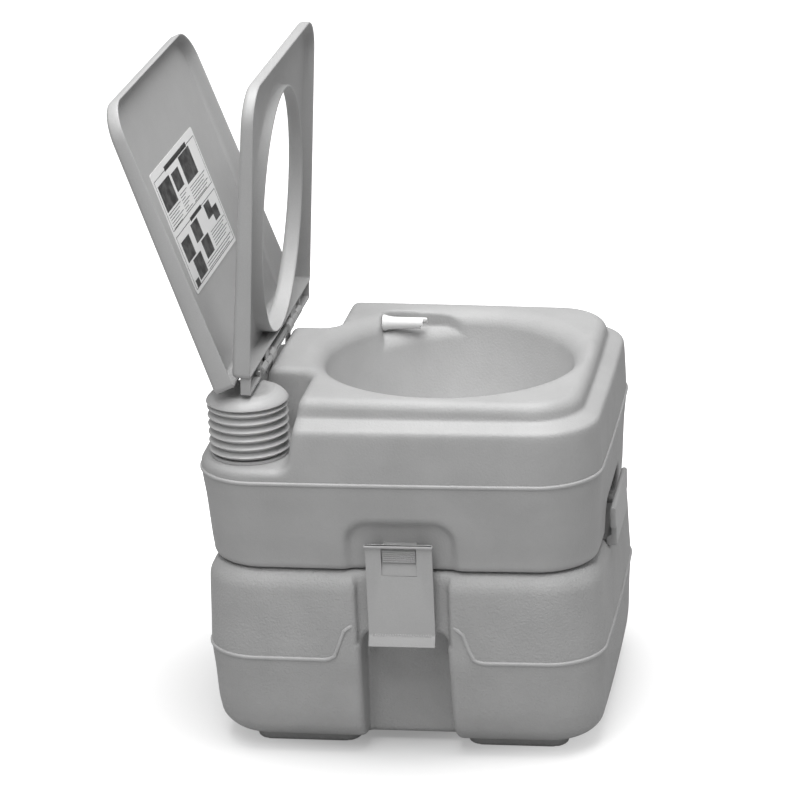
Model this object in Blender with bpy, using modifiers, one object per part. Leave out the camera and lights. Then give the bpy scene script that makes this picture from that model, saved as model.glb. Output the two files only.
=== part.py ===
"""Portable camp toilet: two stacked hollow tanks, a bellows flush pump, a lid and a seat.

Blender 4.5, metres, +Z up. The front (valve handle side) faces -Y, the hinge and the pump are at +Y.
The design is laid out about the tanks' own centre line with z = 0 under the feet. The root empty then
moves everything by FRAME_Y, so that the origin is the bottom centre of the whole toilet, lid open.
"""

import math

import bmesh
import bpy

MM = 0.001

# ---------------------------------------------------------------- driving dimensions

FRAME_Y = -31.9 * MM           # tank centre line to origin: the open lid leans out at the back
WALL = 3.5 * MM                # blow-moulded wall
GAP = 0.3 * MM                 # between touching pieces

LENGTH_FRONT = -206.5 * MM     # widest ring, front and rear
LENGTH_REAR = 207.0 * MM
LOWER_HALF_WIDTH = 181.0 * MM
UPPER_HALF_WIDTH = 182.5 * MM

# Side profile of each tank as (height, inset at front and rear, inset at the sides).
LOWER_PROFILE = [
    (8, 24, 36), (11, 14, 26), (20, 7, 16), (32, 5, 10), (50, 3, 6), (80, 1.8, 3), (111, 0, 0),
    (140, 1.2, 0.5), (170, 2, 0.8), (185, 3, 2), (195, 6.5, 5.5), (201, 12.5, 11.5), (203.9, 22, 21)]
UPPER_PROFILE = [
    (204.5, 21, 27), (207.5, 12, 18), (215, 6.5, 13), (225, 5.3, 10.5), (240, 4.6, 7.5), (270, 2.8, 3.5),
    (302, 0, 0), (345, 0.8, 1.2), (356, 2.2, 2.6), (359, 6, 6), (365, 15.5, 16), (372, 19, 19.5),
    (379, 24, 24.5), (384, 32, 32.5)]
LOWER_CORNER = 53 * MM
UPPER_CORNER = 60 * MM
WALL_BOW = 3 * MM              # the long walls swell outwards by this much
DECK_CREST = 384 * MM          # deck height at the centre line
DECK_SLOPE = 0.017             # the deck rises towards the hinge
DECK_FLAT_FROM = 356 * MM      # heights above this follow the slope

LEDGE_Z = 315 * MM             # rear ledge that carries the pump and the filler
PUMP_AT = (-127 * MM, 153.6 * MM)
FILLER_AT = (127 * MM, 153 * MM)

BOWL_PROFILE = [               # (height, radius, centre y)
    (402, 139, -36), (384, 133, -36), (362, 127, -35.5), (330, 115, -34.5), (290, 95, -32), (255, 72, -28.5),
    (232, 53, -25.5), (222, 46, -25), (190, 45, -25)]
DRAIN_Y = -25 * MM
DRAIN_R = 45 * MM
BOWL_SIDES = 30

HINGE_Y = 144.6 * MM
HINGE_Z = 394 * MM
ROD_R = 3 * MM
SEAT_OPEN = 87.5               # degrees from lying on the deck
LID_OPEN = 113.3

LATCH_Y = -4.5 * MM            # both latches and their recesses sit a little forward of the middle
LATCH_PIN_X = 177.0 * MM
LATCH_PIN_Z = 235.5 * MM

# ---------------------------------------------------------------- scene, materials


def clear_scene():
    for obj in list(bpy.data.objects):
        bpy.data.objects.remove(obj, do_unlink=True)


def make_collection(name):
    collection = bpy.data.collections.new(name)
    bpy.context.scene.collection.children.link(collection)
    return collection


def make_material(name, colour, roughness, metallic=0.0):
    material = bpy.data.materials.new(name)
    material.use_nodes = True
    shader = material.node_tree.nodes["Principled BSDF"]
    shader.inputs["Base Color"].default_value = (*colour, 1.0)
    shader.inputs["Roughness"].default_value = roughness
    shader.inputs["Metallic"].default_value = metallic
    return material


clear_scene()
TOILET = make_collection("camp_toilet")
CUTTERS = make_collection("cutters")

TANK_GREY = make_material("tank_grey", (0.47, 0.47, 0.47), 0.55)
SEAT_GREY = make_material("seat_grey", (0.50, 0.50, 0.50), 0.42)
PUMP_GREY = make_material("pump_grey", (0.46, 0.46, 0.46), 0.45)
NOZZLE_WHITE = make_material("nozzle_white", (0.90, 0.90, 0.89), 0.35)
LABEL_PAPER = make_material("label_paper", (0.82, 0.82, 0.80), 0.5)
SEAL_RUBBER = make_material("seal_rubber", (0.06, 0.06, 0.065), 0.7)
STEEL = make_material("steel", (0.62, 0.62, 0.63), 0.3, 1.0)
HOSE_CLEAR = make_material("hose", (0.70, 0.72, 0.72), 0.4)

ROOT = bpy.data.objects.new("camp_toilet_root", None)
TOILET.objects.link(ROOT)
ROOT.location = (0, FRAME_Y, 0)


def joint_empty(name, location, angle_x=0.0):
    empty = bpy.data.objects.new(name, None)
    TOILET.objects.link(empty)
    empty.parent = ROOT
    empty.location = location
    empty.rotation_euler = (math.radians(angle_x), 0, 0)
    return empty


SEAT_AXIS = joint_empty("seat_axis", (0, HINGE_Y, HINGE_Z), -SEAT_OPEN)
LID_AXIS = joint_empty("lid_axis", (0, HINGE_Y, HINGE_Z), -LID_OPEN)

# ---------------------------------------------------------------- shape helpers


def finish_object(name, mesh_data, material=None, parent=None):
    """Turn a bmesh into an object: a piece when it has a material, else a cutter."""
    mesh_data.normal_update()
    bmesh.ops.recalc_face_normals(mesh_data, faces=mesh_data.faces)
    mesh = bpy.data.meshes.new(name)
    mesh_data.to_mesh(mesh)
    mesh_data.free()
    obj = bpy.data.objects.new(name, mesh)
    obj.parent = parent or ROOT
    if material:
        mesh.materials.append(material)
        mesh.shade_smooth()
        mesh.set_sharp_from_angle(angle=math.radians(35))
        TOILET.objects.link(obj)
    else:
        obj.hide_render = True
        obj.display_type = "WIRE"
        CUTTERS.objects.link(obj)
    return obj


def boolean(obj, other, operation="DIFFERENCE"):
    modifier = obj.modifiers.new(operation.lower(), "BOOLEAN")
    modifier.operation = operation
    modifier.solver = "EXACT"
    modifier.object = other
    return obj


def cut(obj, *cutters):
    for cutter in cutters:
        boolean(obj, cutter)
    return obj


def loft(name, rings, material=None, parent=None):
    """Closed skin through rings of equally many points, with a flat cap at each end."""
    bm = bmesh.new()
    loops = [[bm.verts.new(point) for point in ring] for ring in rings]
    count = len(loops[0])
    for low, high in zip(loops, loops[1:]):
        for i in range(count):
            j = (i + 1) % count
            bm.faces.new((low[i], low[j], high[j], high[i]))
    bm.faces.new(loops[0][::-1])
    bm.faces.new(loops[-1])
    return finish_object(name, bm, material, parent)


def rounded_outline(corners, radii, steps=4):
    """2D outline with each corner turned into an arc of its own radius."""
    points = []
    count = len(corners)
    for i, (cx, cy) in enumerate(corners):
        px, py = corners[i - 1]
        nx, ny = corners[(i + 1) % count]
        radius = radii[i] if isinstance(radii, (list, tuple)) else radii
        if radius <= 0:
            points.append((cx, cy))
            continue
        in_len, out_len = math.hypot(px - cx, py - cy), math.hypot(nx - cx, ny - cy)
        ux, uy = (px - cx) / in_len, (py - cy) / in_len
        vx, vy = (nx - cx) / out_len, (ny - cy) / out_len
        half = math.acos(max(-1.0, min(1.0, ux * vx + uy * vy))) / 2
        reach = radius / math.tan(half)
        bx, by = ux + vx, uy + vy
        scale = radius / math.sin(half) / math.hypot(bx, by)
        ox, oy = cx + bx * scale, cy + by * scale
        start = math.atan2(cy + uy * reach - oy, cx + ux * reach - ox)
        end = math.atan2(cy + vy * reach - oy, cx + vx * reach - ox)
        turn = (end - start + math.pi) % (2 * math.pi) - math.pi
        for k in range(steps + 1):
            angle = start + turn * k / steps
            points.append((ox + radius * math.cos(angle), oy + radius * math.sin(angle)))
    return points


def tank_outline(half_x, y_front, y_rear, radius, bow, side_steps=2):
    """Rounded rectangle, counter-clockwise, whose four walls swell out by bow in the middle."""
    hx = half_x - bow
    front, rear = y_front + bow, y_rear - bow
    corners = [(hx, front), (hx, rear), (-hx, rear), (-hx, front)]
    arcs = rounded_outline(corners, radius)
    per_arc = len(arcs) // 4
    middle = (front + rear) / 2
    half_y = (rear - front) / 2
    points = []
    for corner in range(4):
        arc = arcs[corner * per_arc:(corner + 1) * per_arc]
        points += arc
        ax, ay = arc[-1]
        bx, by = arcs[((corner + 1) * per_arc) % len(arcs)]
        for k in range(1, side_steps):
            t = k / side_steps
            points.append((ax + (bx - ax) * t, ay + (by - ay) * t))
    swollen = []
    for x, y in points:
        v = (y - middle) / half_y
        u = x / hx
        swollen.append((x + bow * u * (1 - v * v), y + bow * v * (1 - u * u)))
    return swollen


def tank_rings(profile, half_width, radius, shrink=0.0):
    """Rings of a tank profile. shrink moves every wall, the floor and the top inwards."""
    low, high = profile[0][0] * MM, profile[-1][0] * MM
    rings = []
    for height, inset_y, inset_x in profile:
        z = height * MM
        z = low + shrink + (z - low) * (high - low - 2 * shrink) / (high - low)
        outline = tank_outline(
            half_width - inset_x * MM - shrink, LENGTH_FRONT + inset_y * MM + shrink,
            LENGTH_REAR - inset_y * MM - shrink, radius - min(shrink + inset_y * MM / 2, radius / 2),
            WALL_BOW)
        tilt = max(0.0, min(1.0, (height * MM - DECK_FLAT_FROM) / (22 * MM)))
        rings.append([(x, y, z + tilt * DECK_SLOPE * y) for x, y in outline])
    return rings


def prism(name, outline, axis, low, high, material=None, parent=None):
    """Extrude a 2D outline along X (outline is y, z), Y (x, z) or Z (x, y)."""
    place = {"X": lambda a, b, c: (c, a, b), "Y": lambda a, b, c: (a, c, b),
             "Z": lambda a, b, c: (a, b, c)}[axis]
    return loft(name, [[place(a, b, c) for a, b in outline] for c in (low, high)], material, parent)


def box(name, low, high, material=None, parent=None, bevel=0.0):
    bm = bmesh.new()
    bmesh.ops.create_cube(bm, size=1.0)
    for vert in bm.verts:
        vert.co = [low[i] + (vert.co[i] + 0.5) * (high[i] - low[i]) for i in range(3)]
    if bevel:
        bmesh.ops.bevel(bm, geom=bm.edges[:], offset=bevel, segments=2, profile=0.5, affect="EDGES")
    return finish_object(name, bm, material, parent)


def cylinder(name, radius, low, high, centre, axis="Z", material=None, parent=None, segments=20,
             top_radius=None):
    """Round bar or cone along an axis; centre is its place on the other two axes, in X, Y, Z order."""
    bm = bmesh.new()
    bmesh.ops.create_cone(bm, cap_ends=True, segments=segments, radius1=radius,
                          radius2=radius if top_radius is None else top_radius, depth=high - low)
    for vert in bm.verts:
        a, b, c = vert.co.x, vert.co.y, vert.co.z + (low + high) / 2
        u, v = centre
        vert.co = {"Z": (a + u, b + v, c), "Y": (a + u, c, b + v), "X": (c, a + u, b + v)}[axis]
    return finish_object(name, bm, material, parent)


def turned(name, profile, centre, material, segments=18, parent=None, axis="Z"):
    """Closed profile of (radius, height) turned about a line; listed down its outer side first."""
    bm = bmesh.new()
    verts = [bm.verts.new((radius, 0, height)) for radius, height in profile]
    for i, vert in enumerate(verts):
        bm.edges.new((vert, verts[(i + 1) % len(verts)]))
    mesh = bpy.data.meshes.new(name)
    bm.to_mesh(mesh)
    bm.free()
    mesh.materials.append(material)
    obj = bpy.data.objects.new(name, mesh)
    TOILET.objects.link(obj)
    obj.parent = parent or ROOT
    obj.location = centre
    if axis == "X":
        obj.rotation_euler = (0, math.pi / 2, 0)
    screw = obj.modifiers.new("turn", "SCREW")
    screw.steps = segments
    screw.render_steps = segments
    screw.use_merge_vertices = True
    screw.merge_threshold = 0.00001
    screw.use_smooth_shade = True
    return obj


def pipe(name, points, radius, material=None, parent=None, resolution=2):
    """Round bar along a polyline, as a welded mesh so that it can also be a cutter."""
    curve = bpy.data.curves.new(name + "_curve", "CURVE")
    curve.dimensions = "3D"
    curve.bevel_depth = radius
    curve.bevel_resolution = resolution
    curve.use_fill_caps = True
    spline = curve.splines.new("POLY")
    spline.points.add(len(points) - 1)
    for target, point in zip(spline.points, points):
        target.co = (*point, 1.0)
    guide = bpy.data.objects.new(name + "_guide", curve)
    CUTTERS.objects.link(guide)
    bpy.context.view_layer.update()
    evaluated = guide.evaluated_get(bpy.context.evaluated_depsgraph_get())
    bm = bmesh.new()
    bm.from_mesh(bpy.data.meshes.new_from_object(evaluated))
    bmesh.ops.remove_doubles(bm, verts=bm.verts, dist=0.00001)
    bpy.data.objects.remove(guide, do_unlink=True)
    return finish_object(name, bm, material, parent)


def bend(start, corner, end, radius, steps=5):
    """Points of an arc that rounds the corner between two straight runs in space."""
    def unit(a, b):
        length = math.dist(a, b)
        return [(b[i] - a[i]) / length for i in range(3)]
    u, v = unit(corner, start), unit(corner, end)
    half = math.acos(sum(a * b for a, b in zip(u, v))) / 2
    reach = radius / math.tan(half)
    middle = [a + b for a, b in zip(u, v)]
    scale = radius / math.sin(half) / math.hypot(*middle)
    centre = [corner[i] + middle[i] * scale for i in range(3)]
    first = [corner[i] + u[i] * reach - centre[i] for i in range(3)]
    last = [corner[i] + v[i] * reach - centre[i] for i in range(3)]
    turn = math.pi - 2 * half
    points = []
    for k in range(steps + 1):
        a = math.sin(turn * (1 - k / steps)) / math.sin(turn)
        b = math.sin(turn * k / steps) / math.sin(turn)
        points.append([centre[i] + a * first[i] + b * last[i] for i in range(3)])
    return points


def circle(radius, centre_x, centre_y, z, count=BOWL_SIDES):
    return [(centre_x + radius * math.cos(2 * math.pi * i / count),
             centre_y + radius * math.sin(2 * math.pi * i / count), z) for i in range(count)]


# ---------------------------------------------------------------- lower (waste) tank

RECESS_HALF = 46 * MM          # deep side recess below the latch
RECESS_FLOOR_X = 137 * MM
CHANNEL_HALF = 48 * MM         # shallow channel behind the latch plate
CHANNEL_X = 171.5 * MM
CHANNEL_LOW = 139 * MM
FOOT_X = 138 * MM
FOOT_SPANS = [(-163 * MM, -64 * MM), (64 * MM, 163 * MM)]

VALVE_WELL_X = 80 * MM         # well in the lower tank's top for the slide valve
VALVE_WELL_Y = (-100 * MM, 74 * MM)
VALVE_WELL_Z = 189 * MM
HANDLE_SLOT_X = 55 * MM

SPOUT_AXIS = (-66 * MM, 163 * MM)
SPOUT_BAY_X = (-102 * MM, 92 * MM)
SPOUT_BAY_Y = 132 * MM
SPOUT_BAY_Z = 104 * MM
SPOUT_ARM_Z = 156 * MM
VENT_AT = (24 * MM, 163 * MM)


def beside_latch(outline):
    """Move a (y, z) outline from the tanks' middle to the latch."""
    return [(y + LATCH_Y, z) for y, z in outline]


def side_recess(name, side, grow=0.0):
    """Deep recess under the latch: open at the side and at the bottom, a little wider at the bottom."""
    half, top = RECESS_HALF + grow, CHANNEL_LOW + grow
    outline = rounded_outline(
        [(-half - 2 * MM, -20 * MM), (half + 2 * MM, -20 * MM), (half, top), (-half, top)],
        [0, 0, 14 * MM, 14 * MM])
    x0, x1 = sorted((side * (RECESS_FLOOR_X - grow), side * 230 * MM))
    return prism(name, beside_latch(outline), "X", x0, x1)


def side_channel(name, side, grow=0.0):
    half = CHANNEL_HALF + grow
    outline = [(-half, CHANNEL_LOW - 10 * MM), (half, CHANNEL_LOW - 10 * MM), (half, 240 * MM),
               (-half, 240 * MM)]
    x0, x1 = sorted((side * (CHANNEL_X - grow), side * 230 * MM))
    return prism(name, beside_latch(outline), "X", x0, x1)


def lower_hollows(tag, grow=0.0):
    """Every hollow pressed into the lower tank from outside; grow gives the skin round it."""
    cutters = []
    for side, word in ((-1, "left"), (1, "right")):
        cutters.append(side_recess(f"recess_{word}_{tag}", side, grow))
        cutters.append(side_channel(f"channel_{word}_{tag}", side, grow))
    cutters.append(box(f"valve_well_{tag}", (-VALVE_WELL_X - grow, VALVE_WELL_Y[0] - grow,
                                             VALVE_WELL_Z - grow),
                       (VALVE_WELL_X + grow, VALVE_WELL_Y[1] + grow, 260 * MM)))
    cutters.append(box(f"handle_slot_{tag}", (-HANDLE_SLOT_X - grow, -260 * MM, VALVE_WELL_Z + 1 * MM - grow),
                       (HANDLE_SLOT_X + grow, VALVE_WELL_Y[0] + 5 * MM, 261 * MM)))
    cutters.append(box(f"spout_bay_{tag}", (SPOUT_BAY_X[0] - grow, SPOUT_BAY_Y - grow, SPOUT_BAY_Z - grow),
                       (SPOUT_BAY_X[1] + grow, 262 * MM, 262 * MM)))
    return cutters


SCREW_PLACES = [(sx * 68 * MM, y) for sx in (-1, 1) for y in (-88 * MM, 62 * MM)]


def build_lower_tank():
    tank = loft("lower_tank", tank_rings(LOWER_PROFILE, LOWER_HALF_WIDTH, LOWER_CORNER), TANK_GREY)
    for number, (y0, y1) in enumerate(FOOT_SPANS):
        low = rounded_outline([(-FOOT_X, y0), (FOOT_X, y0), (FOOT_X, y1), (-FOOT_X, y1)], 16 * MM)
        high = rounded_outline([(-FOOT_X - 4 * MM, y0 - 3 * MM), (FOOT_X + 4 * MM, y0 - 3 * MM),
                                (FOOT_X + 4 * MM, y1 + 3 * MM), (-FOOT_X - 4 * MM, y1 + 3 * MM)], 16 * MM)
        foot = loft(f"foot_{number}", [[(x, y, 0) for x, y in low], [(x, y, 10.5 * MM) for x, y in high]])
        boolean(tank, foot, "UNION")
    cut(tank, *lower_hollows("outside"))
    inside = loft("lower_inside", tank_rings(LOWER_PROFILE, LOWER_HALF_WIDTH, LOWER_CORNER, WALL))
    cut(inside, *lower_hollows("skin", WALL))
    cut(tank, inside)
    cut(tank, cylinder("waste_port", DRAIN_R + 1.5 * MM, 175 * MM, 215 * MM, (0, DRAIN_Y),
                       segments=BOWL_SIDES))
    cut(tank, cylinder("spout_port", 20.5 * MM, 90 * MM, 120 * MM, SPOUT_AXIS))
    cut(tank, cylinder("vent_port", 5 * MM, 90 * MM, 120 * MM, VENT_AT, segments=16))
    for number, place in enumerate(SCREW_PLACES):
        cut(tank, cylinder(f"screw_hole_{number}", 2.3 * MM, 170 * MM, 200 * MM, place, segments=12))
    return tank


# ---------------------------------------------------------------- upper (water) tank

HOOD_HALF = 55 * MM            # recess above the latch
HOOD_TOP = 257 * MM
HOOD_X = 168 * MM
HANDLE_HALF = 60 * MM
NICHE_X = (101 * MM, 129 * MM)
NICHE_Y = (-20 * MM, 54 * MM)
NICHE_Z = 364 * MM
NOZZLE_X = 115 * MM
NOZZLE_Z = 375 * MM


REAR_STEP_TOP = 430 * MM
REAR_WALL_LOW, REAR_WALL_HIGH = 150 * MM, 138 * MM


def rear_step(name, grow=0.0):
    """Everything above the rear ledge: behind the hinge block and in the two corner notches."""
    rings = []
    for z, front, inner, rear in ((LEDGE_Z - grow, 107 * MM, 79 * MM, REAR_WALL_LOW),
                                  (REAR_STEP_TOP, 85 * MM, 63 * MM, REAR_WALL_HIGH)):
        front, inner, rear = front - grow, inner - grow, rear - grow
        wide, back = 240 * MM, 260 * MM
        corners = [(wide, front), (wide, back), (-wide, back), (-wide, front),
                   (-inner, front), (-inner, rear), (inner, rear), (inner, front)]
        outline = rounded_outline(corners, [0, 0, 0, 0, 22 * MM, 9 * MM, 9 * MM, 22 * MM], 4)
        rings.append([(x, y, z) for x, y in outline])
    return loft(name, rings)


def bowl(name, grow=0.0):
    rings = [circle(radius * MM + grow, 0, centre * MM, height * MM)
             for height, radius, centre in BOWL_PROFILE]
    return loft(name, rings)


def upper_hollows(tag, grow=0.0):
    cutters = [rear_step(f"rear_step_{tag}", grow), bowl(f"bowl_{tag}", grow)]
    for side, word in ((-1, "left"), (1, "right")):
        half, top = HOOD_HALF + grow, HOOD_TOP + grow
        outline = rounded_outline([(-half, 190 * MM), (half, 190 * MM), (half, top), (-half, top)],
                                  [0, 0, 20 * MM, 20 * MM])
        x0, x1 = sorted((side * (HOOD_X - grow), side * 231 * MM))
        cutters.append(prism(f"hood_{word}_{tag}", beside_latch(outline), "X", x0, x1))
    half = HANDLE_HALF + 3 * MM + grow
    grip = rounded_outline([(-half, 189 * MM), (half, 189 * MM), (half, 240 * MM + grow),
                            (-half, 240 * MM + grow)],
                           [0, 0, 14 * MM, 14 * MM])
    cutters.append(prism(f"finger_recess_{tag}", grip, "Y", -240 * MM, -186 * MM + grow))
    cutters.append(box(f"niche_{tag}", (NICHE_X[0] - grow, NICHE_Y[0], NICHE_Z - grow),
                       (NICHE_X[1] + grow, NICHE_Y[1] + grow, 430 * MM)))
    return cutters


def build_upper_tank():
    tank = loft("upper_tank", tank_rings(UPPER_PROFILE, UPPER_HALF_WIDTH, UPPER_CORNER), TANK_GREY)
    cut(tank, *upper_hollows("outside"))
    inside = loft("upper_inside", tank_rings(UPPER_PROFILE, UPPER_HALF_WIDTH, UPPER_CORNER, WALL))
    cut(inside, *upper_hollows("skin", WALL))
    cut(tank, inside)
    cut(tank, cylinder("pump_port", 33 * MM, 290 * MM, 330 * MM, PUMP_AT))
    cut(tank, cylinder("filler_port", 31 * MM, 291 * MM, 331 * MM, FILLER_AT))
    cut(tank, cylinder("nozzle_port", 8.4 * MM, 50 * MM, 66 * MM, (NOZZLE_X, NOZZLE_Z), "Y", segments=16))
    for number, x in enumerate(BRACKET_SCREWS):
        cut(tank, cylinder(f"bracket_hole_{number}", 2.3 * MM, 130 * MM, 160 * MM, (x, BRACKET_SCREW_Z), "Y",
                           segments=12))
    return tank


# ---------------------------------------------------------------- slide valve between the tanks

FRAME_TOP = 201.6 * MM
BLADE_Z = (193.4 * MM, 197.4 * MM)
BLADE_HALF = 51 * MM
BLADE_FRONT = -199 * MM
BLADE_REAR = 32 * MM


def build_valve():
    frame = box("valve_frame", (-78 * MM, -98 * MM, VALVE_WELL_Z + GAP), (78 * MM, 72 * MM, FRAME_TOP),
                SEAT_GREY)
    cut(frame, box("blade_slot", (-BLADE_HALF - 0.6 * MM, -120 * MM, BLADE_Z[0] - 0.5 * MM),
                   (BLADE_HALF + 0.6 * MM, BLADE_REAR + 1 * MM, BLADE_Z[1] + 0.5 * MM)))
    cut(frame, cylinder("frame_bore", DRAIN_R, 180 * MM, 210 * MM, (0, DRAIN_Y), segments=BOWL_SIDES))
    cut(frame, turned_ring_cutter("seal_groove", DRAIN_R + 3 * MM, DRAIN_R + 10 * MM, FRAME_TOP - 2 * MM,
                                  210 * MM))
    for number, place in enumerate(SCREW_PLACES):
        cut(frame, cylinder(f"frame_hole_{number}", 2.3 * MM, 180 * MM, 210 * MM, place, segments=12))

    outline = rounded_outline([(-BLADE_HALF, BLADE_FRONT), (BLADE_HALF, BLADE_FRONT),
                               (BLADE_HALF, BLADE_REAR),
                               (-BLADE_HALF, BLADE_REAR)], [0, 0, 8 * MM, 8 * MM], 3)
    prism("valve_blade", outline, "Z", *BLADE_Z, SEAT_GREY)

    profile = rounded_outline(
        [(-210.6 * MM, 190.6 * MM), (BLADE_FRONT - GAP, 190.6 * MM), (BLADE_FRONT - GAP, 199.4 * MM),
         (-204.6 * MM, 203 * MM), (-204.6 * MM, 235 * MM), (-210.6 * MM, 235 * MM)],
        [2 * MM, 0, 0, 1.5 * MM, 2.5 * MM, 2.5 * MM], 2)
    handle = prism("valve_handle", profile, "X", -HANDLE_HALF, HANDLE_HALF, SEAT_GREY)
    for side in (-1, 1):
        x0, x1 = sorted((side * (HANDLE_SLOT_X - 2 * MM), side * 90 * MM))
        cut(handle, box(f"handle_shoulder_{side + 1}", (x0, -230 * MM, 180 * MM), (x1, -180 * MM, 213 * MM)))

    turned("valve_seal", [(DRAIN_R + 9.6 * MM, 1.9 * MM), (DRAIN_R + 9.6 * MM, 0), (DRAIN_R + 3.4 * MM, 0),
                          (DRAIN_R + 3.4 * MM, 1.9 * MM), (DRAIN_R + 6.5 * MM, 4.5 * MM)],
           (0, DRAIN_Y, FRAME_TOP - 2 * MM + 0.1 * MM), SEAL_RUBBER, 24)

    for number, (x, y) in enumerate(SCREW_PLACES, 1):
        screw(f"frame_screw_{number}", (x, y), FRAME_TOP + GAP, 16 * MM)


def turned_ring_cutter(name, inner, outer, low, high):
    ring = cylinder(name, outer, low, high, (0, DRAIN_Y), segments=BOWL_SIDES)
    return cut(ring, cylinder(name + "_core", inner, low - 1 * MM, high + 1 * MM, (0, DRAIN_Y),
                              segments=BOWL_SIDES))


def screw(name, place, seat_z, length, head_r=4 * MM, shaft_r=2 * MM, head_h=2.2 * MM):
    """Pan-head screw standing on seat_z, with its shaft pointing down."""
    profile = [(shaft_r * 0.8, head_h), (head_r, head_h * 0.6), (head_r, 0), (shaft_r, 0),
               (shaft_r, -length + 2 * MM), (0.4 * MM, -length)]
    obj = loft(name, [circle(r, 0, 0, z, 8) for r, z in reversed(profile)], STEEL)
    obj.location = (*place, seat_z)
    return obj


# ---------------------------------------------------------------- pour spout and vent

SPOUT_R = 18 * MM


def spout_path(margin):
    base = (*SPOUT_AXIS, 96 * MM - margin)
    corner = (*SPOUT_AXIS, SPOUT_ARM_Z)
    end = (50 * MM + margin, SPOUT_AXIS[1], SPOUT_ARM_Z)
    return [base, *bend(base, corner, end, 24 * MM), end]


def build_spout():
    spout = pipe("pour_spout", spout_path(0), SPOUT_R, SEAT_GREY, resolution=3)
    cut(spout, pipe("spout_bore", spout_path(8 * MM), SPOUT_R - 3 * MM, resolution=3))
    turned("spout_collar", [(29 * MM, 9 * MM), (30 * MM, 8 * MM), (30 * MM, 0), (SPOUT_R + 0.6 * MM, 0),
                            (SPOUT_R + 0.6 * MM, 9 * MM)], (*SPOUT_AXIS, SPOUT_BAY_Z + GAP), SEAT_GREY)
    # cap: a cup over the arm's end, closed towards +X
    turned("spout_cap", [(21 * MM, 25 * MM), (24 * MM, 22 * MM), (24 * MM, 0), (SPOUT_R + 1.2 * MM, 0),
                         (SPOUT_R + 1.2 * MM, 18 * MM), (1 * MM, 18 * MM), (1 * MM, 25 * MM)],
           (36 * MM, SPOUT_AXIS[1], SPOUT_ARM_Z), TANK_GREY, axis="X")
    turned("spout_seal", [(SPOUT_R - 0.5 * MM, 2.4 * MM), (SPOUT_R - 0.5 * MM, 0), (SPOUT_R - 5 * MM, 0),
                          (SPOUT_R - 5 * MM, 2.4 * MM)],
           (50.5 * MM, SPOUT_AXIS[1], SPOUT_ARM_Z), SEAL_RUBBER, axis="X")


def build_vent():
    x, y = VENT_AT
    floor = SPOUT_BAY_Z
    profile = [(9 * MM, 14 * MM), (11 * MM, 12 * MM), (11 * MM, 8 * MM), (4 * MM, 8 * MM), (4 * MM, -9 * MM),
               (1 * MM, -9 * MM), (1 * MM, 14 * MM)]
    turned("vent_button", profile, (x, y, floor), SEAT_GREY, 14)
    turned("vent_spring", [(7.5 * MM, 7.5 * MM), (7.5 * MM, 0.4 * MM), (5 * MM, 0.4 * MM),
                           (5 * MM, 7.5 * MM)],
           (x, y, floor), STEEL, 12)
    turned("vent_washer", [(9 * MM, -4.4 * MM), (9 * MM, -7 * MM), (4.3 * MM, -7 * MM),
                           (4.3 * MM, -4.4 * MM)],
           (x, y, floor), SEAL_RUBBER, 14)


# ---------------------------------------------------------------- side latches

PLATE_HALF = 34 * MM
WINDOW_HALF = 18 * MM
PLATE_X = (181.3 * MM, 184.3 * MM)
PLATE_LOW = 130.5 * MM
PLATE_BEND_Z = 141 * MM


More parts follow.
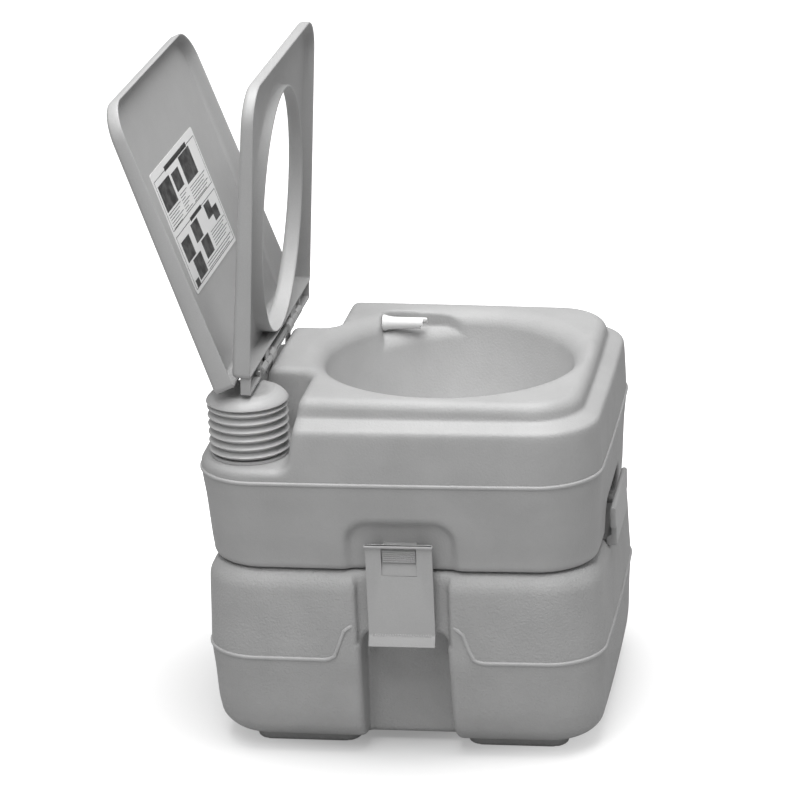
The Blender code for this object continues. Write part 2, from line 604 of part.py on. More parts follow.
def build_latch(side, word):
    def mirrored(outline):
        return [(side * a, b) for a, b in outline]

    inner, outer = PLATE_X
    plate_profile = mirrored([
        (inner, PLATE_BEND_Z), (inner, 238.6 * MM), (outer + 1.2 * MM, 238.6 * MM), (outer, 234 * MM),
        (outer, PLATE_BEND_Z), (outer + 6.5 * MM, PLATE_LOW), (outer + 3.5 * MM, PLATE_LOW)])
    plate = prism(f"latch_plate_{word}", plate_profile, "Y", LATCH_Y - PLATE_HALF, LATCH_Y + PLATE_HALF,
                  SEAT_GREY)
    x0, x1 = sorted((side * 160 * MM, side * 200 * MM))
    cut(plate, box(f"latch_window_{word}", (x0, LATCH_Y - WINDOW_HALF, 205.6 * MM),
                   (x1, LATCH_Y + WINDOW_HALF, 233.6 * MM)))
    # knuckles round the pin, one at each side of the window
    x0, x1 = sorted((side * (LATCH_PIN_X - 5 * MM), side * (inner + 1 * MM)))
    for end in (-1, 1):
        y0, y1 = sorted((LATCH_Y + end * 22 * MM, LATCH_Y + end * 31 * MM))
        knuckle = box(f"latch_knuckle_{word}_{end + 1}", (x0, y0, LATCH_PIN_Z - 5 * MM), (x1, y1, 238.2 * MM))
        boolean(plate, knuckle, "UNION")
    cut(plate, cylinder(f"latch_bore_{word}", 2.1 * MM, -50 * MM, 50 * MM,
                        (side * LATCH_PIN_X, LATCH_PIN_Z), "Y",
                        segments=16))
    # detent rib that stops in front of the catch
    x0, x1 = sorted((side * (inner - 2.6 * MM), side * (inner + 1 * MM)))
    boolean(plate, box(f"latch_detent_{word}", (x0, LATCH_Y - 16 * MM, 146 * MM),
                       (x1, LATCH_Y + 16 * MM, 149 * MM)),
            "UNION")

    cylinder(f"latch_pin_{word}", 2 * MM, LATCH_Y - 33 * MM, LATCH_Y + 33 * MM,
             (side * LATCH_PIN_X, LATCH_PIN_Z), "Y",
             STEEL, segments=16)

    # ribbed bracket in the hood: it carries the pin and fills the upper half of the window
    face = 183.4 * MM
    pin_x, pin_z = LATCH_PIN_X, LATCH_PIN_Z
    bracket_profile = mirrored([
        (HOOD_X + GAP, 214 * MM), (face, 214 * MM), (face, pin_z - 3.7 * MM),
        (pin_x + 4 * MM, pin_z - 3.7 * MM),
        (pin_x + 4 * MM, pin_z + 0.4 * MM), (pin_x + 2.9 * MM, pin_z + 2.9 * MM),
        (pin_x + 0.5 * MM, pin_z + 4.1 * MM),
        (HOOD_X + GAP, pin_z + 4.1 * MM)])
    bracket = prism(f"latch_bracket_{word}", bracket_profile, "Y", LATCH_Y - 17 * MM, LATCH_Y + 17 * MM,
                    SEAT_GREY)
    a, b = sorted((side * (face - 1.2 * MM), side * 200 * MM))
    for rib in range(4):
        z = 216 * MM + rib * 4.2 * MM
        cut(bracket, box(f"bracket_rib_{word}_{rib}", (a, -30 * MM, z), (b, 30 * MM, z + 2.1 * MM)))
    cut(bracket, cylinder(f"bracket_bore_{word}", 2.1 * MM, -50 * MM, 50 * MM,
                          (side * LATCH_PIN_X, LATCH_PIN_Z), "Y",
                          segments=16))

    # catch on the lower tank: a sloped lug behind the plate
    catch_profile = mirrored([(CHANNEL_X + GAP, 152 * MM), (178.2 * MM, 152 * MM), (178.2 * MM, 170 * MM),
                              (CHANNEL_X + GAP, 184 * MM)])
    prism(f"latch_catch_{word}", catch_profile, "Y", LATCH_Y - 20 * MM, LATCH_Y + 20 * MM, SEAT_GREY)


# ---------------------------------------------------------------- flush pump and its plumbing

PUMP_R = 42 * MM
PLEATS = 6
PLEAT_PITCH = 8.9 * MM
BELLOWS_LOW = 318.8 * MM
CAP_LOW = BELLOWS_LOW + PLEATS * PLEAT_PITCH + GAP


def build_pump():
    turned("pump_base", [(38 * MM, 3 * MM), (38.8 * MM, 2 * MM), (38.8 * MM, GAP), (32.4 * MM, GAP),
                         (32.4 * MM, -16 * MM), (26 * MM, -16 * MM), (26 * MM, 3 * MM)],
           (*PUMP_AT, LEDGE_Z), PUMP_GREY)
    outer = []
    for k in range(PLEATS):
        top = BELLOWS_LOW + (PLEATS - k) * PLEAT_PITCH
        outer += [(PUMP_R - 6.5 * MM, top), (PUMP_R, top - 0.5 * PLEAT_PITCH)]
    outer.append((PUMP_R - 6.5 * MM, BELLOWS_LOW))
    inner = [(radius - 1.8 * MM, z) for radius, z in reversed(outer)]
    turned("pump_bellows", [(r, z) for r, z in outer + inner], (*PUMP_AT, 0), PUMP_GREY)
    dome = [(6 * MM, 9.4 * MM), (18 * MM, 9.6 * MM), (23 * MM, 10.8 * MM), (28 * MM, 11 * MM),
            (33 * MM, 9.8 * MM),
            (38 * MM, 6.4 * MM), (PUMP_R, 1.6 * MM), (PUMP_R - 1 * MM, 0), (31 * MM, 0), (31 * MM, -5 * MM),
            (28.5 * MM, -5 * MM), (28.5 * MM, 6 * MM), (6 * MM, 6 * MM)]
    cap = turned("pump_cap", dome, (*PUMP_AT, CAP_LOW), PUMP_GREY, 20)
    boolean(cap, cylinder("pump_cap_middle", 7 * MM, CAP_LOW + 5.9 * MM, CAP_LOW + 9.5 * MM, PUMP_AT),
            "UNION")

    valve = cylinder("pump_valve", 25.2 * MM, 301 * MM, 310 * MM, PUMP_AT, "Z", NOZZLE_WHITE, segments=24)
    boolean(valve, cylinder("valve_stem", 9 * MM, 288 * MM, 302 * MM, PUMP_AT, segments=16), "UNION")
    cut(valve, cylinder("valve_throat", 3 * MM, 280 * MM, 320 * MM, PUMP_AT, segments=12))

    tube = cylinder("pump_tube", 5.5 * MM, 213 * MM, 287.7 * MM, PUMP_AT, "Z", HOSE_CLEAR, segments=16)
    cut(tube, cylinder("pump_tube_bore", 4 * MM, 200 * MM, 300 * MM, PUMP_AT, segments=16))

    start = (PUMP_AT[0] + 9.4 * MM, PUMP_AT[1] + 8 * MM, 294 * MM)
    run = [start, (-60 * MM, 172 * MM, 290 * MM), (0, 178 * MM, 286 * MM), (60 * MM, 170 * MM, 284 * MM),
           (98 * MM, 140 * MM, 286 * MM), (111 * MM, 104 * MM, 292 * MM), (NOZZLE_X, 80 * MM, 306 * MM),
           (NOZZLE_X, 74.5 * MM, 325 * MM), (NOZZLE_X, 74 * MM, 349.5 * MM)]
    pipe("flush_hose", smooth_route(run), 4 * MM, HOSE_CLEAR)

    low = (NOZZLE_X, 74 * MM, 350 * MM)
    corner = (NOZZLE_X, 74 * MM, NOZZLE_Z)
    tip = (NOZZLE_X, 6 * MM, NOZZLE_Z)
    nozzle = pipe("flush_nozzle", [low, *bend(low, corner, tip, 9 * MM), tip], 5.8 * MM, NOZZLE_WHITE,
                  resolution=3)
    cut(nozzle, box("nozzle_notch", (100 * MM, 0, 365 * MM), (130 * MM, 14 * MM, NOZZLE_Z - 1 * MM)))
    flange = cylinder("nozzle_flange", 9 * MM, 48 * MM, 51.5 * MM, (NOZZLE_X, NOZZLE_Z), "Y", NOZZLE_WHITE,
                      segments=20, top_radius=8 * MM)
    cut(flange, cylinder("flange_bore", 6.1 * MM, 41 * MM, 69 * MM, (NOZZLE_X, NOZZLE_Z), "Y", segments=20))
    ring = cylinder("nozzle_grommet", 8.1 * MM, 52 * MM, 62 * MM, (NOZZLE_X, NOZZLE_Z), "Y", SEAL_RUBBER,
                    segments=20)
    cut(ring, cylinder("grommet_bore", 6.1 * MM, 40 * MM, 70 * MM, (NOZZLE_X, NOZZLE_Z), "Y", segments=20))


def smooth_route(points, per_span=3):
    """Points on a Catmull-Rom curve through the route."""
    padded = [points[0], *points, points[-1]]
    route = []
    for i in range(len(points) - 1):
        a, b, c, d = padded[i:i + 4]
        for k in range(per_span):
            t = k / per_span
            route.append([0.5 * (2 * b[j] + (c[j] - a[j]) * t
                                + (2 * a[j] - 5 * b[j] + 4 * c[j] - d[j]) * t * t
                                 + (3 * b[j] - a[j] - 3 * c[j] + d[j]) * t ** 3) for j in range(3)])
    route.append(list(points[-1]))
    return route


def build_filler():
    cap = [(5 * MM, 20 * MM), (31 * MM, 20 * MM), (34 * MM, 17.5 * MM), (35.5 * MM, 1.2 * MM),
           (29 * MM, 1.2 * MM),
           (29 * MM, -10 * MM), (26 * MM, -10 * MM), (26 * MM, 16 * MM), (5 * MM, 16 * MM)]
    lid = turned("fill_cap", cap, (*FILLER_AT, LEDGE_Z + 2.2 * MM), TANK_GREY, 20)
    boolean(lid, cylinder("fill_cap_middle", 6 * MM, LEDGE_Z + 17.5 * MM, LEDGE_Z + 22.6 * MM, FILLER_AT),
            "UNION")
    grip = box("fill_cap_grip", (FILLER_AT[0] - 27 * MM, FILLER_AT[1] - 4 * MM, LEDGE_Z + 20 * MM),
               (FILLER_AT[0] + 27 * MM, FILLER_AT[1] + 4 * MM, LEDGE_Z + 31 * MM), bevel=2 * MM)
    boolean(lid, grip, "UNION")
    turned("fill_seal", [(34.5 * MM, 2.7 * MM), (34.5 * MM, GAP), (30.5 * MM, GAP), (30.5 * MM, 2.7 * MM)],
           (*FILLER_AT, LEDGE_Z), SEAL_RUBBER)


# ---------------------------------------------------------------- hinge

BRACKET_X = (38 * MM, 58 * MM)
BRACKET_SCREW_Z = 362 * MM
BRACKET_SCREWS = [side * (BRACKET_X[0] + BRACKET_X[1]) / 2 for side in (-1, 1)]
SEAT_KNUCKLE_X = (60 * MM, 80 * MM)
LID_KNUCKLE_X = (82 * MM, 102 * MM)
ROD_HALF = 110 * MM


def block_rear(z):
    """The drafted rear wall of the hinge block."""
    return REAR_WALL_LOW + (REAR_WALL_HIGH - REAR_WALL_LOW) * (z - LEDGE_Z) / (REAR_STEP_TOP - LEDGE_Z)


def build_hinge():
    low, high, thick = 350 * MM, 383 * MM, 3 * MM
    for side, word in ((-1, "left"), (1, "right")):
        outline = rounded_outline(
            [(block_rear(low) + GAP, low), (block_rear(low) + thick, low), (block_rear(high) + thick, high),
             (HINGE_Y + 5.2 * MM, HINGE_Z - 3 * MM), (HINGE_Y + 5.2 * MM, HINGE_Z + 5.2 * MM),
             (HINGE_Y - 5.2 * MM, HINGE_Z + 5.2 * MM), (HINGE_Y - 5.2 * MM, HINGE_Z - 4.5 * MM),
             (block_rear(high) + GAP, high + 4.5 * MM)],
            [0, 1 * MM, 0, 3 * MM, 4.5 * MM, 4.5 * MM, 2 * MM, 0], 3)
        x0, x1 = sorted((side * BRACKET_X[0], side * BRACKET_X[1]))
        bracket = prism(f"hinge_bracket_{word}", outline, "X", x0, x1, SEAT_GREY)
        cut(bracket, cylinder(f"bracket_rod_bore_{word}", ROD_R + 0.1 * MM, x0 - 5 * MM, x1 + 5 * MM,
                              (HINGE_Y, HINGE_Z), "X", segments=16))
        centre = (x0 + x1) / 2
        cut(bracket, cylinder(f"bracket_screw_bore_{word}", 2.3 * MM, 130 * MM, 170 * MM,
                              (centre, BRACKET_SCREW_Z),
                              "Y", segments=12))
        fastener = screw(f"hinge_screw_{word}", (centre, block_rear(BRACKET_SCREW_Z) + thick + 2 * GAP),
                         BRACKET_SCREW_Z,
                         14 * MM)
        fastener.rotation_euler = (-math.pi / 2, 0, 0)
    cylinder("hinge_rod", ROD_R, -ROD_HALF, ROD_HALF, (HINGE_Y, HINGE_Z), "X", STEEL, segments=16)


# ------------------------------------------------ seat and lid, drawn closed about the hinge axis

SEAT_HALF = 164.5 * MM
SEAT_SPAN = (-308 * MM, -12 * MM)      # front and rear edge, from the hinge axis
SEAT_HOLE_Y = -141 * MM
SEAT_HOLE = (105 * MM, 127 * MM)        # half width, half length
LID_HALF = 168.5 * MM
LID_SPAN = (-317 * MM, -9 * MM)
FLANGE_SPANS = [(-150 * MM, -104 * MM), (-80 * MM, 80 * MM), (104 * MM, 150 * MM)]
FLANGE_REAR = 6 * MM                    # low flange behind the seat that covers the hinge rod
FLANGE_TOP = 8 * MM
SEAT_SHELL = 2.6 * MM
LID_SHELL = 2.4 * MM


def seat_top(y):
    return 16.8 * MM + 0.049 * y


def seat_low(y):
    return -2.2 * MM + 0.0275 * y


def lid_top(y):
    return 33.2 * MM + 0.085 * y


def lid_low(y):
    return 10.5 * MM + 0.06 * y


def tray(name, half, span, low, high, edge, front_r, rear_r, shrink=0.0, material=None, parent=None):
    """Shallow dish, open below: low and high give its height at each y, edge rounds its top edge.

    shrink moves the walls and the top inwards and drops the bottom, for the hollow of the dish.
    """
    rings = []
    drop = 12 * MM if shrink else 0.0
    levels = [(0.0, 0.0), (0.55, 0.0), (0.82, 0.3), (1.0, 1.0)]
    for level, pull in levels:
        inset = shrink + edge * pull
        x, y0, y1 = half - inset, span[0] + inset, span[1] - inset
        corners = [(x, y0), (x, y1), (-x, y1), (-x, y0)]
        fr, rr = max(front_r - inset, 2 * MM), max(rear_r - inset, 1.5 * MM)
        outline = rounded_outline(corners, [fr, rr, rr, fr], 4)
        rings.append([(px, py, low(py) - drop + (high(py) - shrink - low(py) + drop) * level) for px,
                      py in outline])
    return loft(name, rings, material, parent)


def ellipse_bar(name, half_x, half_y, centre_y, low, high, material=None, parent=None, count=32):
    rings = []
    for z in (low, high):
        rings.append([(half_x * math.cos(2 * math.pi * i / count),
                       centre_y + half_y * math.sin(2 * math.pi * i / count),
                       z) for i in range(count)])
    return loft(name, rings, material, parent)


def add_knuckles(obj, tag, parent, span_x, root_y, root_z):
    """Two barrels round the hinge rod, joined to the shell's rear edge."""
    for side in (-1, 1):
        x0, x1 = sorted((side * span_x[0], side * span_x[1]))
        barrel = cylinder(f"{tag}_barrel_{side + 1}", 5.6 * MM, x0, x1, (0, 0), "X", None, parent,
                          segments=20)
        arm = box(f"{tag}_arm_{side + 1}", (x0, root_y, root_z[0]), (x1, -1 * MM, root_z[1]), None, parent)
        boolean(obj, barrel, "UNION")
        boolean(obj, arm, "UNION")
    cut(obj, cylinder(f"{tag}_bore", ROD_R + 0.1 * MM, -ROD_HALF - 2 * MM, ROD_HALF + 2 * MM, (0, 0), "X",
                      None, parent,
                      segments=16))


def build_seat():
    seat = tray("seat", SEAT_HALF, SEAT_SPAN, seat_low, seat_top, 5 * MM, 38 * MM, 6 * MM, 0, SEAT_GREY,
                SEAT_AXIS)
    cut(seat, ellipse_bar("seat_hole", *SEAT_HOLE, SEAT_HOLE_Y, -40 * MM, 40 * MM, None, SEAT_AXIS))
    hollow = tray("seat_hollow", SEAT_HALF, SEAT_SPAN, seat_low, seat_top, 5 * MM, 38 * MM, 6 * MM,
                  SEAT_SHELL,
                  None, SEAT_AXIS)
    lip = ellipse_bar("seat_lip", SEAT_HOLE[0] + SEAT_SHELL, SEAT_HOLE[1] + SEAT_SHELL, SEAT_HOLE_Y,
                      -41 * MM, 41 * MM,
                      None, SEAT_AXIS)
    cut(hollow, lip)
    for number, (x0, x1) in enumerate(FLANGE_SPANS):
        boolean(seat, box(f"seat_flange_{number}", (x0, SEAT_SPAN[1] - 2 * MM, -2.4 * MM),
                          (x1, FLANGE_REAR, FLANGE_TOP),
                          None, SEAT_AXIS), "UNION")
    cut(seat, hollow)
    for number, (x0, x1) in enumerate(FLANGE_SPANS):
        cut(seat, box(f"flange_hollow_{number}", (x0 + SEAT_SHELL, SEAT_SPAN[1] - 5 * MM, -20 * MM),
                      (x1 - SEAT_SHELL, FLANGE_REAR - SEAT_SHELL, FLANGE_TOP - SEAT_SHELL), None, SEAT_AXIS))
    add_knuckles(seat, "seat_knuckle", SEAT_AXIS, SEAT_KNUCKLE_X, -14 * MM, (-1.5 * MM, 6 * MM))
    # the flange's rear wall is notched where the hinge brackets come through it
    for side in (-1, 1):
        x0, x1 = sorted((side * (BRACKET_X[0] - 2 * MM), side * (BRACKET_X[1] + 1.5 * MM)))
        cut(seat, box(f"seat_notch_{side + 1}", (x0, -6.5 * MM, -21 * MM), (x1, 9 * MM, 6.2 * MM), None,
                      SEAT_AXIS))


def build_lid():
    lid = tray("lid", LID_HALF, LID_SPAN, lid_low, lid_top, 4 * MM, 36 * MM, 6 * MM, 0, SEAT_GREY, LID_AXIS)
    cut(lid, tray("lid_hollow", LID_HALF, LID_SPAN, lid_low, lid_top, 4 * MM, 36 * MM, 6 * MM, LID_SHELL,
                  None, LID_AXIS))
    add_knuckles(lid, "lid_knuckle", LID_AXIS, LID_KNUCKLE_X, -10.5 * MM, (0.5 * MM, 24 * MM))
    inner = [(y, lid_top(y) - LID_SHELL - GAP) for y in (-229 * MM, -98 * MM)]
    outline = [(inner[0][0], inner[0][1] - 0.5 * MM), (inner[1][0], inner[1][1] - 0.5 * MM), inner[1],
               inner[0]]
    prism("instruction_label", outline, "X", -103 * MM, 87 * MM, LABEL_PAPER, LID_AXIS)


build_lower_tank()
build_upper_tank()
build_valve()
build_spout()
build_vent()
for latch_side, latch_word in ((-1, "left"), (1, "right")):
    build_latch(latch_side, latch_word)
build_pump()
build_filler()
build_hinge()
build_seat()
build_lid()
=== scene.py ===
"""Looks of the portable camp toilet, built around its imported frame.

Shapes are worked out in millimetres in the tanks' own frame: x across, y along the tanks with the front
at -Y, z up from the floor. They move to the frame's metres when their mesh is made. The two blow-moulded
tanks are distance fields with rounded unions and cuts, sampled on a grid and turned into a mesh. The
moulded seat, lid, pump and small parts are swept, turned or extruded sections.
"""

import math

import bmesh
import bpy
import numpy as np
from mathutils import Matrix, Vector


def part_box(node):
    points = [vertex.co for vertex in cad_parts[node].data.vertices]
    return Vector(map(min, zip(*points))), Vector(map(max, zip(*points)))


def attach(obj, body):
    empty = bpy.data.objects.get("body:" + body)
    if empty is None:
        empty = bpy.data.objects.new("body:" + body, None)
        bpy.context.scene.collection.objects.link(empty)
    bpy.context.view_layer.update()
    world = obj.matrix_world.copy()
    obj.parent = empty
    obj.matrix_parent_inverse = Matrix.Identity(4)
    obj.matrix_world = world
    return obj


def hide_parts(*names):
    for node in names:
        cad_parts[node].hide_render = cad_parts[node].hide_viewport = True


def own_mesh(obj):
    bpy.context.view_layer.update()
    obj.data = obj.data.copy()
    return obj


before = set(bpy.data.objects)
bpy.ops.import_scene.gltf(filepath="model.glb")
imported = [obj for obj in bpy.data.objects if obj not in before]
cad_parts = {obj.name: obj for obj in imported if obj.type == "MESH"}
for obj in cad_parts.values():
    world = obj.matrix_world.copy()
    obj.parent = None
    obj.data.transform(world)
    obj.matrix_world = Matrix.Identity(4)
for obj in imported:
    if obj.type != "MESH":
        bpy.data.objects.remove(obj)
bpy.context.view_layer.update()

MM = 0.001
TANK_MIDDLE = 0.25             # the tanks' rings run from y = -206.5 to 207
tank_low, tank_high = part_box("upper_tank")
TANK_Y = (tank_low[1] + tank_high[1]) / 2 - TANK_MIDDLE * MM

# ---- sizes, in millimetres

HALF_LENGTH = 206.75
LOWER_HALF_WIDTH = 181.0
UPPER_HALF_WIDTH = 182.5
WALL_BOW = 3.0
LOWER_CORNER = 53.0
UPPER_CORNER = 60.0
JOIN_LOW = 203.9
JOIN_HIGH = 204.5
DECK_CREST = 384.0
DECK_SLOPE = 0.017
LEDGE_Z = 315.0
LOWER_SEAM_Z = 111.0
UPPER_SEAM_Z = 302.0
PUMP_AT = (-127.0, 153.6)
FILLER_AT = (127.0, 153.0)
HINGE_Y = 144.6
HINGE_Z = 394.0
SEAT_OPEN = 87.5
LID_OPEN = 113.3
BRACKET_X = 48.0
SIDES = ((-1, "left"), (1, "right"))
LATCH_Y = -4.5                 # the latches sit a little forward of the middle

# Inset of the walls from the widest ring as (height, at front and rear, at the sides).
LOWER_WALLS = [
    (8, 8, 18.5), (20, 6.5, 15), (32, 5, 10), (50, 3, 6), (80, 1.8, 3), (111, 0, 0), (140, 1.0, 0.5),
    (170, 2, 0.8), (185, 2.6, 1.4), (204, 3.4, 2.4)]
UPPER_WALLS = [
    (204.5, 7.0, 11.8), (215, 6.2, 11.0), (225, 5.3, 9.5), (240, 4.6, 7.0), (270, 2.8, 3.5), (302, 0, 0),
    (345, 0.8, 1.2), (354, 1.6, 2.0), (357, 3.2, 3.6), (359.5, 6.6, 7.0), (365.2, 16.2, 16.6),
    (366.2, 17.4, 17.8), (369, 18.0, 18.4), (384, 20.5, 21)]
# The bowl as (height, radius, y of its centre).
BOWL_WALLS = [
    (190, 45, -25), (222, 46, -25), (232, 53, -25.5), (255, 72, -28.5), (290, 95, -32), (330, 115, -34.5),
    (362, 127, -35.5), (384, 133, -36), (402, 139, -36)]

# What is cut into the tanks' sides, tops and ends, and the feet under them.
RECESS_HALF, RECESS_TOP, RECESS_FLOOR = 44.5, 139.0, 137.0
CHANNEL_HALF, CHANNEL_FLOOR = 47.0, 171.5
HOOD_HALF, HOOD_TOP, HOOD_FLOOR = 53.0, 257.0, 168.0
FOOT_HALF, FOOT_TOP, FOOT_DRAFT = 138.0, 30.0, 0.15
FEET = ((-111.5, 51.5), (108.5, 54.5))      # (middle, half length) along y of the front and rear foot
BELLY_Z = 10.5                 # the lower tank's underside between its feet
WELL_HALF, WELL_Y, WELL_HALF_LENGTH, WELL_FLOOR = 80.0, -13.0, 87.0, 189.0
SLOT_HALF, SLOT_REAR, SLOT_FLOOR = 55.0, -95.0, 190.0
BAY_X, BAY_HALF, BAY_FRONT, BAY_FLOOR = -5.0, 97.0, 132.0, 104.0
NICHE_AT, NICHE_HALF, NICHE_FLOOR = (115.0, 17.0), (14.0, 37.0), 366.0
GRIP_HALF, GRIP_TOP, GRIP_REAR = 63.0, 240.0, -186.0
BLOCK_RISE = 115.0             # height over which the drafts of the hinge block's walls are stated
PORT_LOW = 285.0               # how deep the holes for the pump and the filler are cut

# ---- materials

GLOSS_SPREAD = 0.06
SPECKLE = 0.10                 # how much fine speckle is laid over a plastic's colour


def node_material(name):
    material = bpy.data.materials.new(name)
    material.use_nodes = True
    tree = material.node_tree
    return material, tree.nodes, tree.links, tree.nodes["Principled BSDF"]


def set_inputs(node, **values):
    """Set a node's inputs by name, with _ in place of a space."""
    for name, value in values.items():
        node.inputs[name.replace("_", " ")].default_value = value


def noise(nodes, links, scale, detail=2.0, roughness=0.5):
    """Noise over the object's own coordinates."""
    place = nodes.new("ShaderNodeTexCoord").outputs["Object"]
    node = nodes.new("ShaderNodeTexNoise")
    set_inputs(node, Scale=scale, Detail=detail, Roughness=roughness)
    links.new(place, node.inputs["Vector"])
    return node.outputs["Fac"]


def ramp(nodes, links, value, stops):
    """Colour ramp between two stops of (position, grey)."""
    node = nodes.new("ShaderNodeValToRGB")
    for element, (position, shade) in zip(node.color_ramp.elements, stops):
        element.position = position
        element.color = (shade, shade, shade, 1.0)
    links.new(value, node.inputs["Fac"])
    return node.outputs["Color"]


def bump(nodes, links, value, strength, distance, below=None):
    node = nodes.new("ShaderNodeBump")
    set_inputs(node, Strength=strength, Distance=distance)
    links.new(value, node.inputs["Height"])
    if below:
        links.new(below, node.inputs["Normal"])
    return node.outputs["Normal"]


def plastic(name, shade, roughness, grain, grain_depth, wave_depth=0.4, spread=0.05):
    """Moulded plastic: pebbled grain, slow waves of a moulded wall, faint flow marks in its colour."""
    material, nodes, links, shader = node_material(name)
    flow = noise(nodes, links, 16.0, 4.0, 0.6)
    colour = ramp(nodes, links, flow, [(0.3, shade * (1 - spread)), (0.7, shade * (1 + spread))])
    speckle = noise(nodes, links, 1500.0, 1.0)
    mixer = nodes.new("ShaderNodeMix")
    mixer.data_type = "RGBA"
    mixer.blend_type = "OVERLAY"
    set_inputs(mixer, Factor=SPECKLE)
    links.new(colour, mixer.inputs[6])
    links.new(speckle, mixer.inputs[7])
    links.new(mixer.outputs[2], shader.inputs["Base Color"])
    gloss = noise(nodes, links, 70.0, 3.0)
    rough = nodes.new("ShaderNodeMapRange")
    set_inputs(rough, To_Min=roughness - GLOSS_SPREAD, To_Max=roughness + GLOSS_SPREAD)
    links.new(gloss, rough.inputs["Value"])
    links.new(rough.outputs["Result"], shader.inputs["Roughness"])
    waves = noise(nodes, links, 14.0, 2.0)
    skin = noise(nodes, links, 420.0, 2.0)
    pebbles = noise(nodes, links, grain, 3.0, 0.55)
    wave = bump(nodes, links, waves, wave_depth, 0.0012)
    peel = bump(nodes, links, skin, min(1.0, 2.2 * grain_depth), 0.0009, wave)
    links.new(bump(nodes, links, pebbles, grain_depth, 0.0005, peel), shader.inputs["Normal"])
    return material


def rubber(name):
    material, nodes, links, shader = node_material(name)
    dust = noise(nodes, links, 240.0, 3.0)
    colour = ramp(nodes, links, dust, [(0.35, 0.045), (0.75, 0.075)])
    links.new(colour, shader.inputs["Base Color"])
    links.new(bump(nodes, links, noise(nodes, links, 1400.0), 0.2, 0.0002), shader.inputs["Normal"])
    set_inputs(shader, Roughness=0.68)
    return material


def steel(name):
    """Turned or drawn steel with fine marks round it."""
    material, nodes, links, shader = node_material(name)
    marks = noise(nodes, links, 700.0, 2.0)
    links.new(ramp(nodes, links, marks, [(0.3, 0.52), (0.7, 0.64)]), shader.inputs["Base Color"])
    links.new(bump(nodes, links, marks, 0.15, 0.0001), shader.inputs["Normal"])
    set_inputs(shader, Metallic=1.0, Roughness=0.32)
    return material


def printed(name, dark, light, scale):
    """A printed picture block: soft blotches of two greys."""
    material, nodes, links, shader = node_material(name)
    blotch = noise(nodes, links, scale, 3.0, 0.6)
    colour = ramp(nodes, links, blotch, [(0.42, dark), (0.62, light)])
    links.new(colour, shader.inputs["Base Color"])
    set_inputs(shader, Roughness=0.45)
    return material


# Each plastic's shade, roughness, grain (a noise scale), grain depth, wave depth and spread of its shade.
UPPER_PLASTIC = plastic("upper_plastic", 0.41, 0.50, 1100.0, 0.16)
LOWER_PLASTIC = plastic("lower_plastic", 0.41, 0.52, 620.0, 0.42, spread=0.06)
# The parting line's shade is lighter than the tank plastic it is moulded from: a painted highlight along the
# raised bead.
SEAM_HIGHLIGHT_PLASTIC = plastic("seam_plastic_painted_highlight", 0.46, 0.50, 900.0, 0.1, 0.1)
SEAT_PLASTIC = plastic("seat_plastic", 0.42, 0.42, 1300.0, 0.08, 0.15, 0.03)
# The pump's shade is lifted above the other grey plastics: painted light, standing in for the pump's
# brighter, less shadowed look.
PUMP_PAINTED_LIGHT_PLASTIC = plastic("pump_plastic", 0.49, 0.42, 1200.0, 0.08, 0.1, 0.03)
LATCH_PLASTIC = plastic("latch_plastic", 0.44, 0.40, 1000.0, 0.10, 0.1, 0.03)
CAP_PLASTIC = plastic("cap_plastic", 0.39, 0.46, 1000.0, 0.12, 0.1)
WHITE_PLASTIC = plastic("white_plastic", 0.88, 0.33, 1200.0, 0.05, 0.1, 0.015)
HOSE_PLASTIC = plastic("hose_plastic", 0.70, 0.35, 500.0, 0.05, 0.1)
PAPER = plastic("label_paper", 0.80, 0.42, 1600.0, 0.04, 0.1, 0.02)
RUBBER = rubber("black_rubber")
STEEL = steel("plain_steel")
INK = printed("label_ink", 0.02, 0.05, 300.0)
PICTURE = printed("label_picture", 0.02, 0.09, 90.0)

# ---- meshes


def to_world(points):
    points = np.asarray(points, float) * MM
    points[:, 1] += TANK_Y
    return points


def add_object(name, data):
    added = bpy.data.objects.new(name, data)
    bpy.context.scene.collection.objects.link(added)
    return added


def make_piece(name, points, faces, material, body, replaces=(), outward=True):
    """A closed mesh from points in millimetres, riding on a CAD body."""
    mesh = bpy.data.meshes.new(name)
    mesh.from_pydata(to_world(points).tolist(), [], [list(face) for face in faces])
    mesh.materials.append(material)
    if outward:
        bm = bmesh.new()
        bm.from_mesh(mesh)
        bmesh.ops.recalc_face_normals(bm, faces=bm.faces)
        bm.to_mesh(mesh)
        bm.free()
    mesh.shade_smooth()
    piece = add_object(name, mesh)
    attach(piece, body)
    if replaces:
        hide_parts(*replaces)
    return piece


def sharpen(piece, degrees=40.0):
    piece.data.set_sharp_from_angle(angle=math.radians(degrees))
    return piece


def ring_faces(ring_count, point_count, close_rings=False):
    """Quads between neighbouring rings of equally many points, and a cap at each end unless they close."""
    faces = []
    for i in range(ring_count if close_rings else ring_count - 1):
        a, b = i * point_count, ((i + 1) % ring_count) * point_count
        for j in range(point_count):
            k = (j + 1) % point_count
            faces.append((a + j, a + k, b + k, b + j))
    if not close_rings:
        faces.append(tuple(reversed(range(point_count))))
        faces.append(tuple(range((ring_count - 1) * point_count, ring_count * point_count)))
    return faces


def lofted(name, rings, material, body, replaces=(), close_rings=False):
    rings = [np.asarray(ring, float) for ring in rings]
    faces = ring_faces(len(rings), len(rings[0]), close_rings)
    return make_piece(name, np.concatenate(rings), faces, material, body, replaces)


def full_turn(count):
    return np.linspace(0, 2 * math.pi, count, endpoint=False)


def turned_ring(radius, height, turns, axis, centre):
    """Points round an axis through centre. The radius may be one number or one for each angle."""
    a, b, c = radius * np.cos(turns), radius * np.sin(turns), np.full(len(turns), float(height))
    return np.stack({"X": (c, a, b), "Y": (b, c, a), "Z": (a, b, c)}[axis], 1) + np.array(centre)


